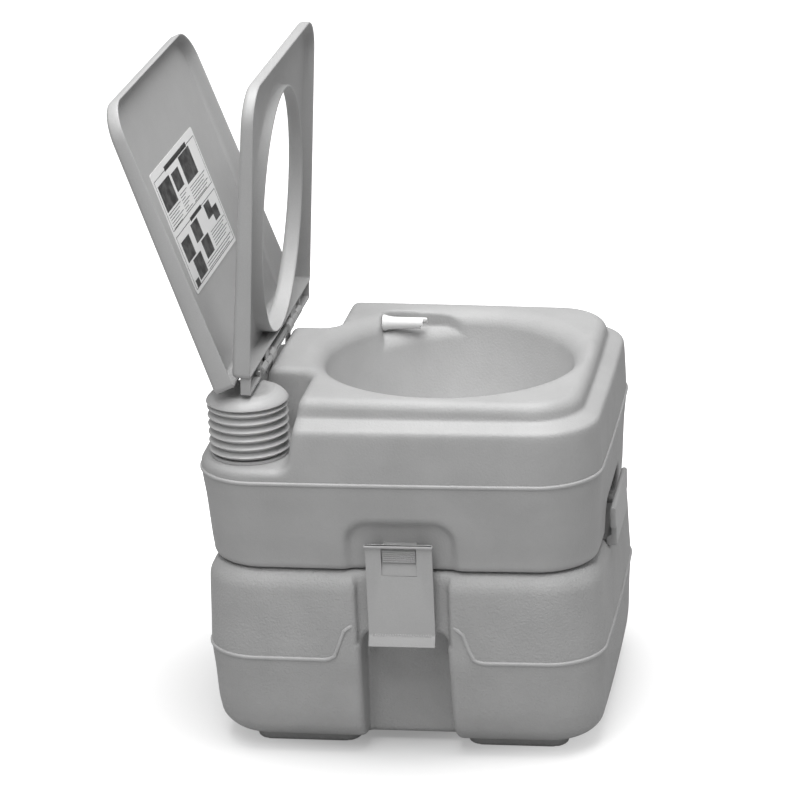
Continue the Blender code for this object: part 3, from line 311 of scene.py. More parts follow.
def turned(name, profile, centre, material, body, replaces=(), axis="Z", sides=96, close=True):
    """Closed profile of (radius, height) turned about an axis through centre."""
    turns = full_turn(sides)
    rings = [turned_ring(radius, height, turns, axis, centre) for radius, height in profile]
    return sharpen(lofted(name, rings, material, body, replaces, close_rings=close))


def extruded(name, outline, axis, low, high, material, body, replaces=(), bevel=0.6, segments=3):
    """Prism with bevelled edges. The outline is in (y, z), (x, z) or (x, y) for axis X, Y or Z."""
    rings = []
    for c in (low, high):
        rings.append([{"X": (c, a, b), "Y": (a, c, b), "Z": (a, b, c)}[axis] for a, b in outline])
    piece = lofted(name, rings, material, body, replaces)
    add_bevel(piece, bevel, segments)
    return piece


def add_bevel(piece, width, segments=3):
    if width:
        bevel = piece.modifiers.new("edges", "BEVEL")
        bevel.width = width * MM
        bevel.segments = segments
        bevel.limit_method = "ANGLE"
        bevel.angle_limit = math.radians(28)
    apply_modifiers(piece)
    sharpen(piece)


def apply_modifiers(piece):
    bpy.context.view_layer.update()
    evaluated = piece.evaluated_get(bpy.context.evaluated_depsgraph_get())
    mesh = bpy.data.meshes.new_from_object(evaluated)
    piece.modifiers.clear()
    piece.data = mesh


def cut_box(piece, low, high):
    """Cut a box out of a piece, from its corners in millimetres."""
    bm = bmesh.new()
    bmesh.ops.create_cube(bm, size=1.0)
    corners = to_world([low, high])
    for vert in bm.verts:
        vert.co = [corners[0][i] + (vert.co[i] + 0.5) * (corners[1][i] - corners[0][i]) for i in range(3)]
    mesh = bpy.data.meshes.new("cutter")
    bm.to_mesh(mesh)
    bm.free()
    cutter = add_object("cutter", mesh)
    modifier = piece.modifiers.new("cut", "BOOLEAN")
    modifier.operation = "DIFFERENCE"
    modifier.solver = "EXACT"
    modifier.object = cutter
    apply_modifiers(piece)
    bpy.data.objects.remove(cutter, do_unlink=True)


def rounded_outline(corners, radii, steps):
    """2D outline with each corner turned into an arc of its own radius."""
    points = []
    count = len(corners)
    for i, (cx, cy) in enumerate(corners):
        px, py = corners[i - 1]
        nx, ny = corners[(i + 1) % count]
        radius = radii[i] if isinstance(radii, (list, tuple)) else radii
        if radius <= 0:
            points.append((cx, cy))
            continue
        in_len, out_len = math.hypot(px - cx, py - cy), math.hypot(nx - cx, ny - cy)
        ux, uy = (px - cx) / in_len, (py - cy) / in_len
        vx, vy = (nx - cx) / out_len, (ny - cy) / out_len
        half = math.acos(max(-1.0, min(1.0, ux * vx + uy * vy))) / 2
        reach = radius / math.tan(half)
        bx, by = ux + vx, uy + vy
        scale = radius / math.sin(half) / math.hypot(bx, by)
        ox, oy = cx + bx * scale, cy + by * scale
        start = math.atan2(cy + uy * reach - oy, cx + ux * reach - ox)
        end = math.atan2(cy + vy * reach - oy, cx + vx * reach - ox)
        turn = (end - start + math.pi) % (2 * math.pi) - math.pi
        for k in range(steps + 1):
            angle = start + turn * k / steps
            points.append((ox + radius * math.cos(angle), oy + radius * math.sin(angle)))
    return points


def panel_outline(half_x, y_front, y_rear, front_r, rear_r, inset=0.0, arc_steps=12, side_steps=14):
    """Rounded rectangle with evenly divided sides; any inset gives matching points."""
    x, y0, y1 = half_x - inset, y_front + inset, y_rear - inset
    fr, rr = max(front_r - inset, 1.2), max(rear_r - inset, 0.8)
    arcs = rounded_outline([(x, y0), (x, y1), (-x, y1), (-x, y0)], [fr, rr, rr, fr], arc_steps)
    per_arc = arc_steps + 1
    points = []
    for corner in range(4):
        arc = arcs[corner * per_arc:(corner + 1) * per_arc]
        points += arc
        (ax, ay), (bx, by) = arc[-1], arcs[((corner + 1) * per_arc) % len(arcs)]
        for k in range(1, side_steps):
            t = k / side_steps
            points.append((ax + (bx - ax) * t, ay + (by - ay) * t))
    return np.array(points)


def hinged(points, degrees):
    """From the closed seat's or lid's own frame about the hinge axis to its open place."""
    angle = math.radians(-degrees)
    x, y, z = np.asarray(points, float).T
    return np.stack([x, HINGE_Y + y * math.cos(angle) - z * math.sin(angle),
                     HINGE_Z + y * math.sin(angle) + z * math.cos(angle)], 1)


# ---- distance fields of the tanks


def round_max(a, b, radius):
    """Intersection of two fields whose shared edge is an arc."""
    inside = np.minimum(-radius, np.maximum(a, b))
    return inside + np.hypot(np.maximum(a + radius, 0), np.maximum(b + radius, 0))


def round_min(a, b, radius):
    """Union of two fields with a rounded corner between them."""
    return -round_max(-a, -b, radius)


def cut_away(body, cutter, radius):
    return round_max(body, -cutter, radius)


def smooth_curve(at, knots, column=1):
    """Monotone cubic through knots of a position and one or more values, level past both ends."""
    xs, ys = np.array(knots, float).T[[0, column]]
    step = np.diff(xs)
    slope = np.diff(ys) / step
    tangent = np.zeros_like(ys)
    product = slope[:-1] * slope[1:]
    total = np.where(product > 0, slope[:-1] + slope[1:], 1.0)
    tangent[1:-1] = np.where(product > 0, 2 * product / total, 0.0)
    tangent[0], tangent[-1] = slope[0], slope[-1]
    at = np.clip(at, xs[0], xs[-1])
    i = np.clip(np.searchsorted(xs, at) - 1, 0, len(step) - 1)
    t = (at - xs[i]) / step[i]
    return ((1 + 2 * t) * (1 - t) ** 2 * ys[i] + t * (1 - t) ** 2 * step[i] * tangent[i]
            + t * t * (3 - 2 * t) * ys[i + 1] + t * t * (t - 1) * step[i] * tangent[i + 1])


def tank_walls(x, y, z, walls, half_width, corner):
    """Field of the four bowed walls with rounded corners."""
    inset_y = smooth_curve(z, walls, 1)
    inset_x = smooth_curve(z, walls, 2)
    u = np.minimum(np.abs(x) / half_width, 1)
    v = np.minimum(np.abs(y - TANK_MIDDLE) / HALF_LENGTH, 1)
    radius = corner - inset_y / 2
    px = np.abs(x) + WALL_BOW * v * v - (half_width - inset_x - radius)
    py = np.abs(y - TANK_MIDDLE) + WALL_BOW * u * u - (HALF_LENGTH - inset_y - radius)
    return np.hypot(np.maximum(px, 0), np.maximum(py, 0)) + np.minimum(np.maximum(px, py), 0) - radius


def lower_tank(x, y, z):
    body = tank_walls(x, y, z, LOWER_WALLS, LOWER_HALF_WIDTH, LOWER_CORNER)
    body = round_max(body, z - JOIN_LOW, 19.5)
    body = round_max(body, BELLY_Z - z, 24)
    side = np.abs(x)
    flare = FOOT_DRAFT * z
    for middle, half_length in FEET:
        foot = round_max(side - FOOT_HALF - flare, np.abs(y - middle) - half_length - flare, 16)
        foot = round_max(np.maximum(foot, z - FOOT_TOP), -z, 1.5)
        body = round_min(body, foot, 1.5)
    beside = np.abs(y - LATCH_Y)
    recess = round_max(beside - RECESS_HALF - 0.015 * (RECESS_TOP - z), z - RECESS_TOP, 14)
    body = cut_away(body, round_max(recess, RECESS_FLOOR - side, 3), 8)
    channel = np.maximum(beside - CHANNEL_HALF, RECESS_TOP - 10 - z)
    body = cut_away(body, round_max(channel, CHANNEL_FLOOR - side, 2), 6)
    well = round_max(side - WELL_HALF, np.abs(y - WELL_Y) - WELL_HALF_LENGTH, 4)
    body = cut_away(body, np.maximum(well, WELL_FLOOR - z), 2.5)
    slot = np.maximum(side - SLOT_HALF, y - SLOT_REAR)
    body = cut_away(body, np.maximum(slot, SLOT_FLOOR - z), 3)
    bay = round_max(np.abs(x - BAY_X) - BAY_HALF, BAY_FRONT - y, 12)
    return cut_away(body, round_max(bay, BAY_FLOOR - z, 4), 6)


def block_rear(z):
    """The drafted rear wall of the hinge block."""
    return 150 - 12 * ((z - LEDGE_Z) / BLOCK_RISE)


def upper_tank(x, y, z):
    lean = np.clip((z - 356) / 22, 0, 1)
    body = tank_walls(x, y, z - DECK_SLOPE * y * lean, UPPER_WALLS, UPPER_HALF_WIDTH, UPPER_CORNER)
    body = round_max(body, z - DECK_CREST - DECK_SLOPE * y, 10)
    body = round_max(body, JOIN_HIGH - z, 7)
    side = np.abs(x)
    # rear ledge: the hinge block stands between two corner notches with drafted walls
    rise = (z - LEDGE_Z) / BLOCK_RISE
    block = round_max(side - (79 - 16 * rise), y - block_rear(z), 9)
    above = round_min(y - (107 - 22 * rise), block, 20)
    body = round_max(body, round_min(above, z - LEDGE_Z, 11), 8)
    radius = smooth_curve(z, BOWL_WALLS, 1)
    centre = smooth_curve(z, BOWL_WALLS, 2)
    bowl = 0.9 * (np.hypot(x, y - centre) - radius)
    niche = round_max(np.abs(x - NICHE_AT[0]) - NICHE_HALF[0], np.abs(y - NICHE_AT[1]) - NICHE_HALF[1], 12)
    body = cut_away(body, np.maximum(niche, NICHE_FLOOR + 0.06 * (45 - y) - z), 3)
    body = cut_away(body, bowl, 16)
    hood = round_max(np.abs(y - LATCH_Y) - HOOD_HALF, z - HOOD_TOP, 20)
    body = cut_away(body, round_max(hood, HOOD_FLOOR - side, 5), 9)
    grip = round_max(side - GRIP_HALF, z - GRIP_TOP, 14)
    body = cut_away(body, round_max(grip, y - GRIP_REAR, 3), 4)
    for (port_x, port_y), port_r in ((PUMP_AT, 33.0), (FILLER_AT, 31.0)):
        port = np.maximum(np.hypot(x - port_x, y - port_y) - port_r, PORT_LOW - z)
        body = cut_away(body, port, 0.5)
    return body


def surface_net(field, low, high, step):
    """Quads where a sampled field changes sign, one vertex in each crossed cell."""
    axes = [np.arange(a, b + step, step) for a, b in zip(low, high)]
    values = field(*np.meshgrid(*axes, indexing="ij"))
    shape = np.array(values.shape) - 1
    strides = np.array([shape[1] * shape[2], shape[2], 1])
    total = np.zeros((shape.prod(), 3))
    count = np.zeros(shape.prod())
    quads = []
    for axis in range(3):
        others = [k for k in range(3) if k != axis]
        start = np.delete(values, -1, axis)
        end = np.delete(values, 0, axis)
        index = np.argwhere((start < 0) != (end < 0))
        index = index[np.all([(index[:, k] > 0) & (index[:, k] < shape[k]) for k in others], axis=0)]
        first, last = start[tuple(index.T)], end[tuple(index.T)]
        points = np.stack([axes[k][index[:, k]] for k in range(3)], 1)
        points[:, axis] += step * first / (first - last)
        cells = []
        for back in ((0, 0), (1, 0), (1, 1), (0, 1)):
            cell = index.copy()
            cell[:, others] -= back
            flat = cell @ strides
            cells.append(flat)
            count += np.bincount(flat, minlength=len(count))
            for k in range(3):
                total[:, k] += np.bincount(flat, points[:, k], minlength=len(count))
        quad = np.stack(cells, 1)
        turn_over = (first > 0) != (axis == 1)
        quad[turn_over] = quad[turn_over][:, ::-1]
        quads.append(quad)
    used = count > 0
    number = np.cumsum(used) - 1
    return total[used] / count[used, None], number[np.concatenate(quads)]


GRADIENT_REACH = 0.4
LONGEST_MOVE = 1.5             # of a point in one round of settling
GRID_STEP = 2.6


def gradient(field, points):
    steps = []
    for offset in np.eye(3) * GRADIENT_REACH:
        change = field(*(points + offset).T) - field(*(points - offset).T)
        steps.append(change / (2 * GRADIENT_REACH))
    return np.stack(steps, 1)


def unit(rows):
    return rows / np.linalg.norm(rows, axis=1)[:, None]


def settle(field, points, rounds=3):
    """Move points onto the field's surface."""
    for _ in range(rounds):
        slope = gradient(field, points)
        size = np.maximum((slope ** 2).sum(1), 0.05)
        move = np.clip(field(*points.T) / size, -LONGEST_MOVE, LONGEST_MOVE)
        points = points - slope * move[:, None]
    return points


def build_tank(name, field, low, high, material):
    points, quads = surface_net(field, low, high, GRID_STEP)
    points = settle(field, points)
    make_piece(name + "_shell", points, quads.tolist(), material, name, (name,), outward=False)


# ---- seams of the tanks

# Section of the raised parting line as (out from the wall, up along it).
BEAD = [(-1.2, -2.1), (1.2, -2.0), (1.7, -1.3), (1.7, 0.4), (1.2, 1.1), (-1.2, 2.2)]
BEAD_FADE = 9.0                # length over which an open line sinks into the wall
# Height of the lower parting line by its distance from the middle of the latch recess.
SEAM_CLIMB = [
    (44, 150.5), (52, 148.5), (59, 144.5), (64, 138), (66, 130), (68.5, 121), (73, 113.5), (81, LOWER_SEAM_Z)]


def wall_loop(half_width, corner):
    """Points round a tank at its widest ring."""
    front, rear = TANK_MIDDLE - HALF_LENGTH, TANK_MIDDLE + HALF_LENGTH
    return panel_outline(half_width, front, rear, corner, corner, 0.0, 40, 60)


def bead(name, field, path, body, closed):
    """Raised parting line: a small section swept along a path that is first laid on the wall."""
    path = settle(field, np.asarray(path, float), 6)
    normal = unit(gradient(field, path))
    if closed:
        tangent = np.roll(path, -1, 0) - np.roll(path, 1, 0)
        fade = np.ones(len(path))
    else:
        tangent = np.gradient(path, axis=0)
        run = np.concatenate([[0], np.cumsum(np.linalg.norm(np.diff(path, axis=0), axis=1))])
        fade = np.clip(np.minimum(run, run[-1] - run) / BEAD_FADE, 0.05, 1)
    up = np.cross(normal, unit(tangent))
    up *= np.sign(up[:, 2:3].sum())
    rings = []
    for out, rise in BEAD:
        out = np.minimum(out, out * fade + (fade - 1) * 1.2)
        rings.append(path + normal * out[:, None] + up * rise)
    rings = np.stack(rings, 1)
    lofted(name, list(rings), SEAM_HIGHLIGHT_PLASTIC, body, close_rings=closed)


def seam_height(y):
    """The lower parting line climbs beside the latch recess."""
    return smooth_curve(np.abs(y - LATCH_Y), SEAM_CLIMB)


def build_seams():
    loop = wall_loop(UPPER_HALF_WIDTH, UPPER_CORNER)
    bead("upper_tank_seam", upper_tank, [(x, y, UPPER_SEAM_Z) for x, y in loop], "upper_tank", True)
    loop = wall_loop(LOWER_HALF_WIDTH, LOWER_CORNER)
    points = []
    for x, y in loop:
        beside = abs(x) > 170 and abs(y - LATCH_Y) < 90
        points.append((x, y, float(seam_height(y)) if beside else LOWER_SEAM_Z))
    points = np.array(points)
    turn = np.argmin(np.abs(points[:, 1] - LATCH_Y) + (points[:, 0] < 0) * 1000)
    points = np.roll(points, -turn, 0)
    in_recess = np.abs(points[:, 1] - LATCH_Y) <= RECESS_HALF + 1
    in_bay = (points[:, 1] > 190) & (np.abs(points[:, 0] - BAY_X) < BAY_HALF + 6)
    kept = ~(in_recess | in_bay)
    edges = np.flatnonzero(np.diff(np.concatenate([[0], kept.astype(int), [0]])))
    for number, (start, end) in enumerate(edges.reshape(-1, 2), 1):
        bead(f"lower_tank_seam_{number}", lower_tank, points[start:end], "lower_tank", False)


# ---- seat

SEAT_HALF = 164.5
SEAT_SPAN = (-308.0, -12.0)
SEAT_HOLE_Y = -141.0
SEAT_HOLE = (105.0, 127.0)
SEAT_SHELL = 2.6
SEAT_CORNER = 38.0
REAR_CORNER = 6.0
EDGE_ROUND = 5.0               # rounding of the seat's and the lid's outer edge
LIP_ROUND = 6.0                # rounding of the lip at the seat's hole
QUARTER_ROUND = [(1 - math.cos(angle), 1 - math.sin(angle)) for angle in np.radians(range(0, 91, 15))]


def seat_top(y):
    return 16.8 + 0.049 * y


def seat_low(y):
    return -2.2 + 0.0275 * y


def build_seat():
    """Annular shell: a section swept round, from the outer skirt over the top to the hole's lip and back."""
    outer = panel_outline(SEAT_HALF, *SEAT_SPAN, SEAT_CORNER, REAR_CORNER)
    turn = np.arctan2((outer[:, 1] - SEAT_HOLE_Y) / SEAT_HOLE[1], outer[:, 0] / SEAT_HOLE[0])

    def at_hole(offset):
        x = (SEAT_HOLE[0] + offset) * np.cos(turn)
        return np.stack([x, SEAT_HOLE_Y + (SEAT_HOLE[1] + offset) * np.sin(turn)], 1)

    # where the hole comes close to the outer edge, both roundings shrink
    room = np.clip(np.linalg.norm(outer - at_hole(0), axis=1) / 20.0, 0.18, 1)[:, None]

    def edge(inset):
        return outer + (panel_outline(SEAT_HALF, *SEAT_SPAN, SEAT_CORNER, REAR_CORNER, inset) - outer) * room

    def hole(offset):
        return at_hole(0) + (at_hole(offset) - at_hole(0)) * room

    rings = []

    def ring(plan, surface, offset):
        rings.append(np.column_stack([plan, surface(plan[:, 1]) + offset]))

    ring(edge(0.0), seat_low, 0.9)
    ring(edge(0.0), seat_top, -EDGE_ROUND - 3)
    for inset, drop in QUARTER_ROUND:
        ring(edge(EDGE_ROUND * inset), seat_top, -EDGE_ROUND * drop)
    for share, crown in ((0.0, 0.2), (0.25, 0.7), (0.5, 0.9), (0.75, 0.6), (1.0, 0.1)):
        ring(edge(10) * (1 - share) + hole(9) * share, seat_top, crown)
    for inset, drop in reversed(QUARTER_ROUND):
        ring(hole(LIP_ROUND * inset), seat_top, -LIP_ROUND * drop)
    ring(hole(0.0), seat_low, 3)
    for offset, height in ((0.1, 0.7), (0.8, 0.0), (2.4, 0.0), (3.1, 0.7)):
        ring(hole(offset), seat_low, height)
    ring(hole(3.3), seat_top, -SEAT_SHELL - 2)
    ring(hole(5.2), seat_top, -SEAT_SHELL)
    for share in (0.25, 0.5, 0.75):
        ring(hole(9) * (1 - share) + edge(10) * share, seat_top, -SEAT_SHELL + 0.4)
    ring(edge(5.2), seat_top, -SEAT_SHELL)
    ring(edge(3.2), seat_top, -SEAT_SHELL - 2)
    for inset, height in ((2.8, 0.7), (2.2, 0.0), (0.7, 0.0)):
        ring(edge(inset), seat_low, height)
    rings = [hinged(points, SEAT_OPEN) for points in rings]
    lofted("seat_shell", rings, SEAT_PLASTIC, "seat", ("seat",), close_rings=True)
    build_knuckles("seat_knuckle", (60.0, 80.0), (-14.0, 6.0), SEAT_OPEN, "seat")
    build_flange()


def swing(piece, degrees):
    """Turn a mesh that was made in the closed seat's or lid's own frame to its open place."""
    mesh = piece.data
    points = np.empty(len(mesh.vertices) * 3)
    mesh.vertices.foreach_get("co", points)
    points = points.reshape(-1, 3)
    points[:, 1] -= TANK_Y
    points = to_world(hinged(points / MM, degrees))
    mesh.vertices.foreach_set("co", points.ravel())
    mesh.update()


def build_flange():
    """Low channel behind the seat that covers the hinge rod, notched where the brackets come through."""
    front, rear, low, top = SEAT_SPAN[1] - 1.5, 6.0, -2.4, 8.0
    outline = [(front, low), (rear, low), (rear, top), (front, top)]
    for word, x0, x1 in (("left", -160, -104), ("middle", -80, 80), ("right", 104, 160)):
        flange = extruded(f"seat_flange_{word}", outline, "X", x0, x1, SEAT_PLASTIC, "seat", bevel=0)
        cut_box(flange, (x0 + SEAT_SHELL, -30, -20), (x1 - SEAT_SHELL, rear - SEAT_SHELL, top - SEAT_SHELL))
        if word == "middle":
            for notch in (-BRACKET_X, BRACKET_X):
                cut_box(flange, (notch - 12, -6.5, -21), (notch + 12, 9, 6.2))
        add_bevel(flange, 0.5, 2)
        swing(flange, SEAT_OPEN)


def build_knuckles(name, span, arm, degrees, body):
    """Barrels round the hinge rod with the arm that joins each to the shell."""
    reach, thick = arm
    barrel_r = 5.6
    outline = [(barrel_r * math.cos(a), barrel_r * math.sin(a)) for a in np.radians(np.arange(-90, 91, 15))]
    outline += [(reach, thick), (reach, -1.5), (-3.0, -1.5), (-4.2, -4.0)]
    for side, word in SIDES:
        low, high = sorted((side * span[0], side * span[1]))
        rings = [hinged([(x, y, z) for y, z in outline], degrees) for x in (low, high)]
        piece = lofted(f"{name}_{word}", rings, SEAT_PLASTIC, body)
        add_bevel(piece, 0.5)


# ---- lid and its label

LID_HALF = 168.5
LID_SPAN = (-317.0, -9.0)
LID_SHELL = 2.4
LID_CORNER = 36.0
LID_CROWN = 0.5                # how far the outer face falls from its middle to the edge


def lid_top(y):
    return 33.2 + 0.085 * y


def lid_low(y):
    return 10.5 + 0.06 * y


def build_lid():
    """Shallow dish: rings from the middle of its outer face over the rim to the middle of the inner face."""
    middle = np.array([0.0, (LID_SPAN[0] + LID_SPAN[1]) / 2])

    def edge(inset):
        return panel_outline(LID_HALF, *LID_SPAN, LID_CORNER, REAR_CORNER, inset)

    rings = []

    def ring(plan, surface, offset):
        rings.append(np.column_stack([plan, surface(plan[:, 1]) + offset]))

    def inner(plan, share):
        return middle + (plan - middle) * share

    for share in (0.04, 0.3, 0.6, 0.85):
        ring(inner(edge(9), share), lid_top, -LID_CROWN * share ** 2)
    for inset, drop in reversed(QUARTER_ROUND):
        ring(edge(EDGE_ROUND * inset), lid_top, -EDGE_ROUND * drop - LID_CROWN * (1 - drop))
    for inset, height in ((0.0, 1.0), (0.5, 0.2), (1.2, 0.0), (1.9, 0.2), (2.4, 1.0)):
        ring(edge(inset), lid_low, height)
    for inset, height in ((2.7, -6.0), (3.4, -2.0), (5.4, 0.0), (8.0, 0.0)):
        ring(edge(inset), lid_top, height - LID_SHELL)
    for share in (0.9, 0.6, 0.3, 0.04):
        ring(inner(edge(9), share), lid_top, -LID_SHELL)
    rings = [hinged(points, LID_OPEN) for points in rings]
    lofted("lid_shell", rings, SEAT_PLASTIC, "lid", ("lid",))
    build_knuckles("lid_knuckle", (82.0, 102.0), (-10.5, 20.0), LID_OPEN, "lid")


LABEL_X = (-103.0, 87.0)
LABEL_Y = (-229.0, -98.0)
RULE = 0.6                     # thickness of a printed line
RULE_PITCH = 3.0


def label_block(x0, x1, y0, y1, height, radius):
    """Thin printed sheet or block on the lid's inner face; x and y run from the label's lower left corner."""
    left, right, low, high = LABEL_X[0] + x0, LABEL_X[0] + x1, LABEL_Y[1] - y0, LABEL_Y[1] - y1
    outline = rounded_outline([(left, low), (right, low), (right, high), (left, high)], radius, 3)
    rings = []
    for depth in (0.02, height):
        rings.append(hinged([(x, y, lid_top(y) - LID_SHELL - depth) for x, y in outline], LID_OPEN))
    return rings


def merged(name, blocks, material, body, replaces=()):
    """Several two-ring blocks in one mesh."""
    points, faces = [], []
    for rings in blocks:
        base = sum(len(p) for p in points)
        count = len(rings[0])
        for face in ring_faces(2, count):
            faces.append(tuple(base + i for i in face))
        points += rings
    return sharpen(make_piece(name, np.concatenate(points), faces, material, body, replaces), 35.0)


def build_label():
    """Generic instruction sheet: bars, dark pictures and plain rules, with no lettering."""
    width, height = LABEL_X[1] - LABEL_X[0], LABEL_Y[1] - LABEL_Y[0]
    sheet = label_block(0, width, 0, height, 0.5, 3.0)
    merged("label_sheet", [sheet], PAPER, "lid", ("instruction_label",))
    ink = []

    def bar(x0, x1, top, bottom):
        ink.append(label_block(x0, x1, height - bottom, height - top, 0.6, 0.4))

    def rules(x0, x1, top, rows):
        for row in range(rows):
            y = top + row * RULE_PITCH
            bar(x0, x1 - 7 * (row % 3), y, y + RULE)

    blocks = ((10, 58, 16, 44), (66, 96, 18, 38), (108, 156, 12, 42), (12, 46, 78, 100), (62, 92, 74, 94),
              (128, 152, 72, 88), (150, 172, 82, 96), (28, 62, 102, 124), (76, 108, 96, 116))
    pictures = [label_block(x0, x1, height - bottom, height - top, 0.62, 0.4)
                for x0, x1, top, bottom in blocks]
    bar(52, 150, 6, 11)
    rules(10, 62, 46.5, 6)
    rules(68, 98, 42, 7)
    rules(108, 178, 46, 6)
    for x0, x1, top, bottom in ((4, width - 4, 9, 63), (4, width - 4, 69.5, height - 4)):
        bar(x0, x1, top, top + RULE)
        bar(x0, x1, bottom - RULE, bottom)
        bar(x0, x0 + RULE, top, bottom)
        bar(x1 - RULE, x1, top, bottom)
    bar(70, 120, 68, 72)
    rules(118, 182, 99, 6)
    rules(68, 182, 118.5, 3)
    bar(10, 24, 119, 127)
    merged("label_print", ink, INK, "lid")
    merged("label_pictures", pictures, PICTURE, "lid")


# ---- flush pump

PUMP_R = 42.0
PLEATS = 6
PLEAT_PITCH = 8.9
PLEAT_DEPTH = 6.8
BELLOWS_WALL = 1.6
BELLOWS_LOW = 318.8
BELLOWS_HIGH = BELLOWS_LOW + PLEATS * PLEAT_PITCH
CAP_LOW = BELLOWS_HIGH + 0.3


def build_pump():
    outer = []
    per_pleat = 12
    for k in range(PLEATS * per_pleat + 1):
        share = (k / per_pleat) % 1.0
        ridge = math.sqrt((2 * share - 1) ** 2 + 0.012)
        outer.append((PUMP_R - PLEAT_DEPTH * min(ridge, 1.0), BELLOWS_HIGH - k * PLEAT_PITCH / per_pleat))
    inner = [(radius - BELLOWS_WALL, height) for radius, height in reversed(outer)]
    bellows = turned("bellows_skin", outer + inner, (*PUMP_AT, 0), PUMP_PAINTED_LIGHT_PLASTIC, "upper_tank",
                     ("pump_bellows",))
    at_world = to_world([(*PUMP_AT, BELLOWS_LOW)])[0]
    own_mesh(bellows)

    cap = [(0.5, 9.2), (14, 9.2), (18, 9.4), (20.5, 10.2), (23.5, 10.9), (28, 11), (31, 10.6), (31.8, 9.9),
           (33.0, 9.6), (35.5, 8.4), (38, 6.5), (40.2, 4.2), (41.6, 2.2), (PUMP_R, 1.0), (41.6, 0.3),
           (40.6, 0), (31, 0), (31, -5), (28.5, -5), (28.5, 6), (0.5, 6)]
    turned("pump_top", cap, (*PUMP_AT, CAP_LOW), PUMP_PAINTED_LIGHT_PLASTIC, "pump_cap", ("pump_cap",))
    base = [(38.2, 3), (38.8, 2.4), (38.9, 0.3), (32.4, 0.3), (32.4, -16), (26, -16), (26, 3)]
    turned("pump_collar", base, (*PUMP_AT, LEDGE_Z), PUMP_PAINTED_LIGHT_PLASTIC, "upper_tank", ("pump_base",))


# ---- flush nozzle

NOZZLE_AT = (115.0, 375.0)


def build_nozzle():
    """White barrel lying in its niche. Its front end is cut open below and on the bowl's side."""
    x, z = NOZZLE_AT
    profile = [(3.6, 8), (5.2, 6.4), (5.8, 7.2), (6.0, 9), (6.2, 30), (6.6, 42), (7.4, 48), (8.7, 52),
               (9.0, 53.4), (8.6, 54.2), (4.6, 54.2), (4.0, 53), (3.8, 10)]
    nozzle = turned("nozzle_barrel", profile, (x, 0, z), WHITE_PLASTIC, "upper_tank",
                    ("flush_nozzle", "nozzle_flange"), axis="Y")
    cut_box(nozzle, (x - 10, 3, z - 8), (x + 10, 13.5, z - 1.2))
    cut_box(nozzle, (x - 10, 3, z - 8), (x - 2.6, 10.5, z + 8))
    sharpen(nozzle)


# ---- side latches

PLATE_HALF = 34.0
PLATE_X = (181.3, 184.3)
PLATE_TOP = 238.6
PLATE_BEND_Z = 141.0
PLATE_LOW = 130.5
WINDOW_HALF = 18.0
WINDOW_Z = (205.6, 235.8)
SILL_TOP = 219.0
LATCH_PIN = (177.0, 235.5)
KNUCKLE_R = 3.4
KNUCKLE_SPAN = (22.0, 31.0)
TEETH = 24
TOOTH_PITCH = 2.6
RIB_X = 183.2
RIB_LOW = 220.0
RIB_PITCH = 2.2


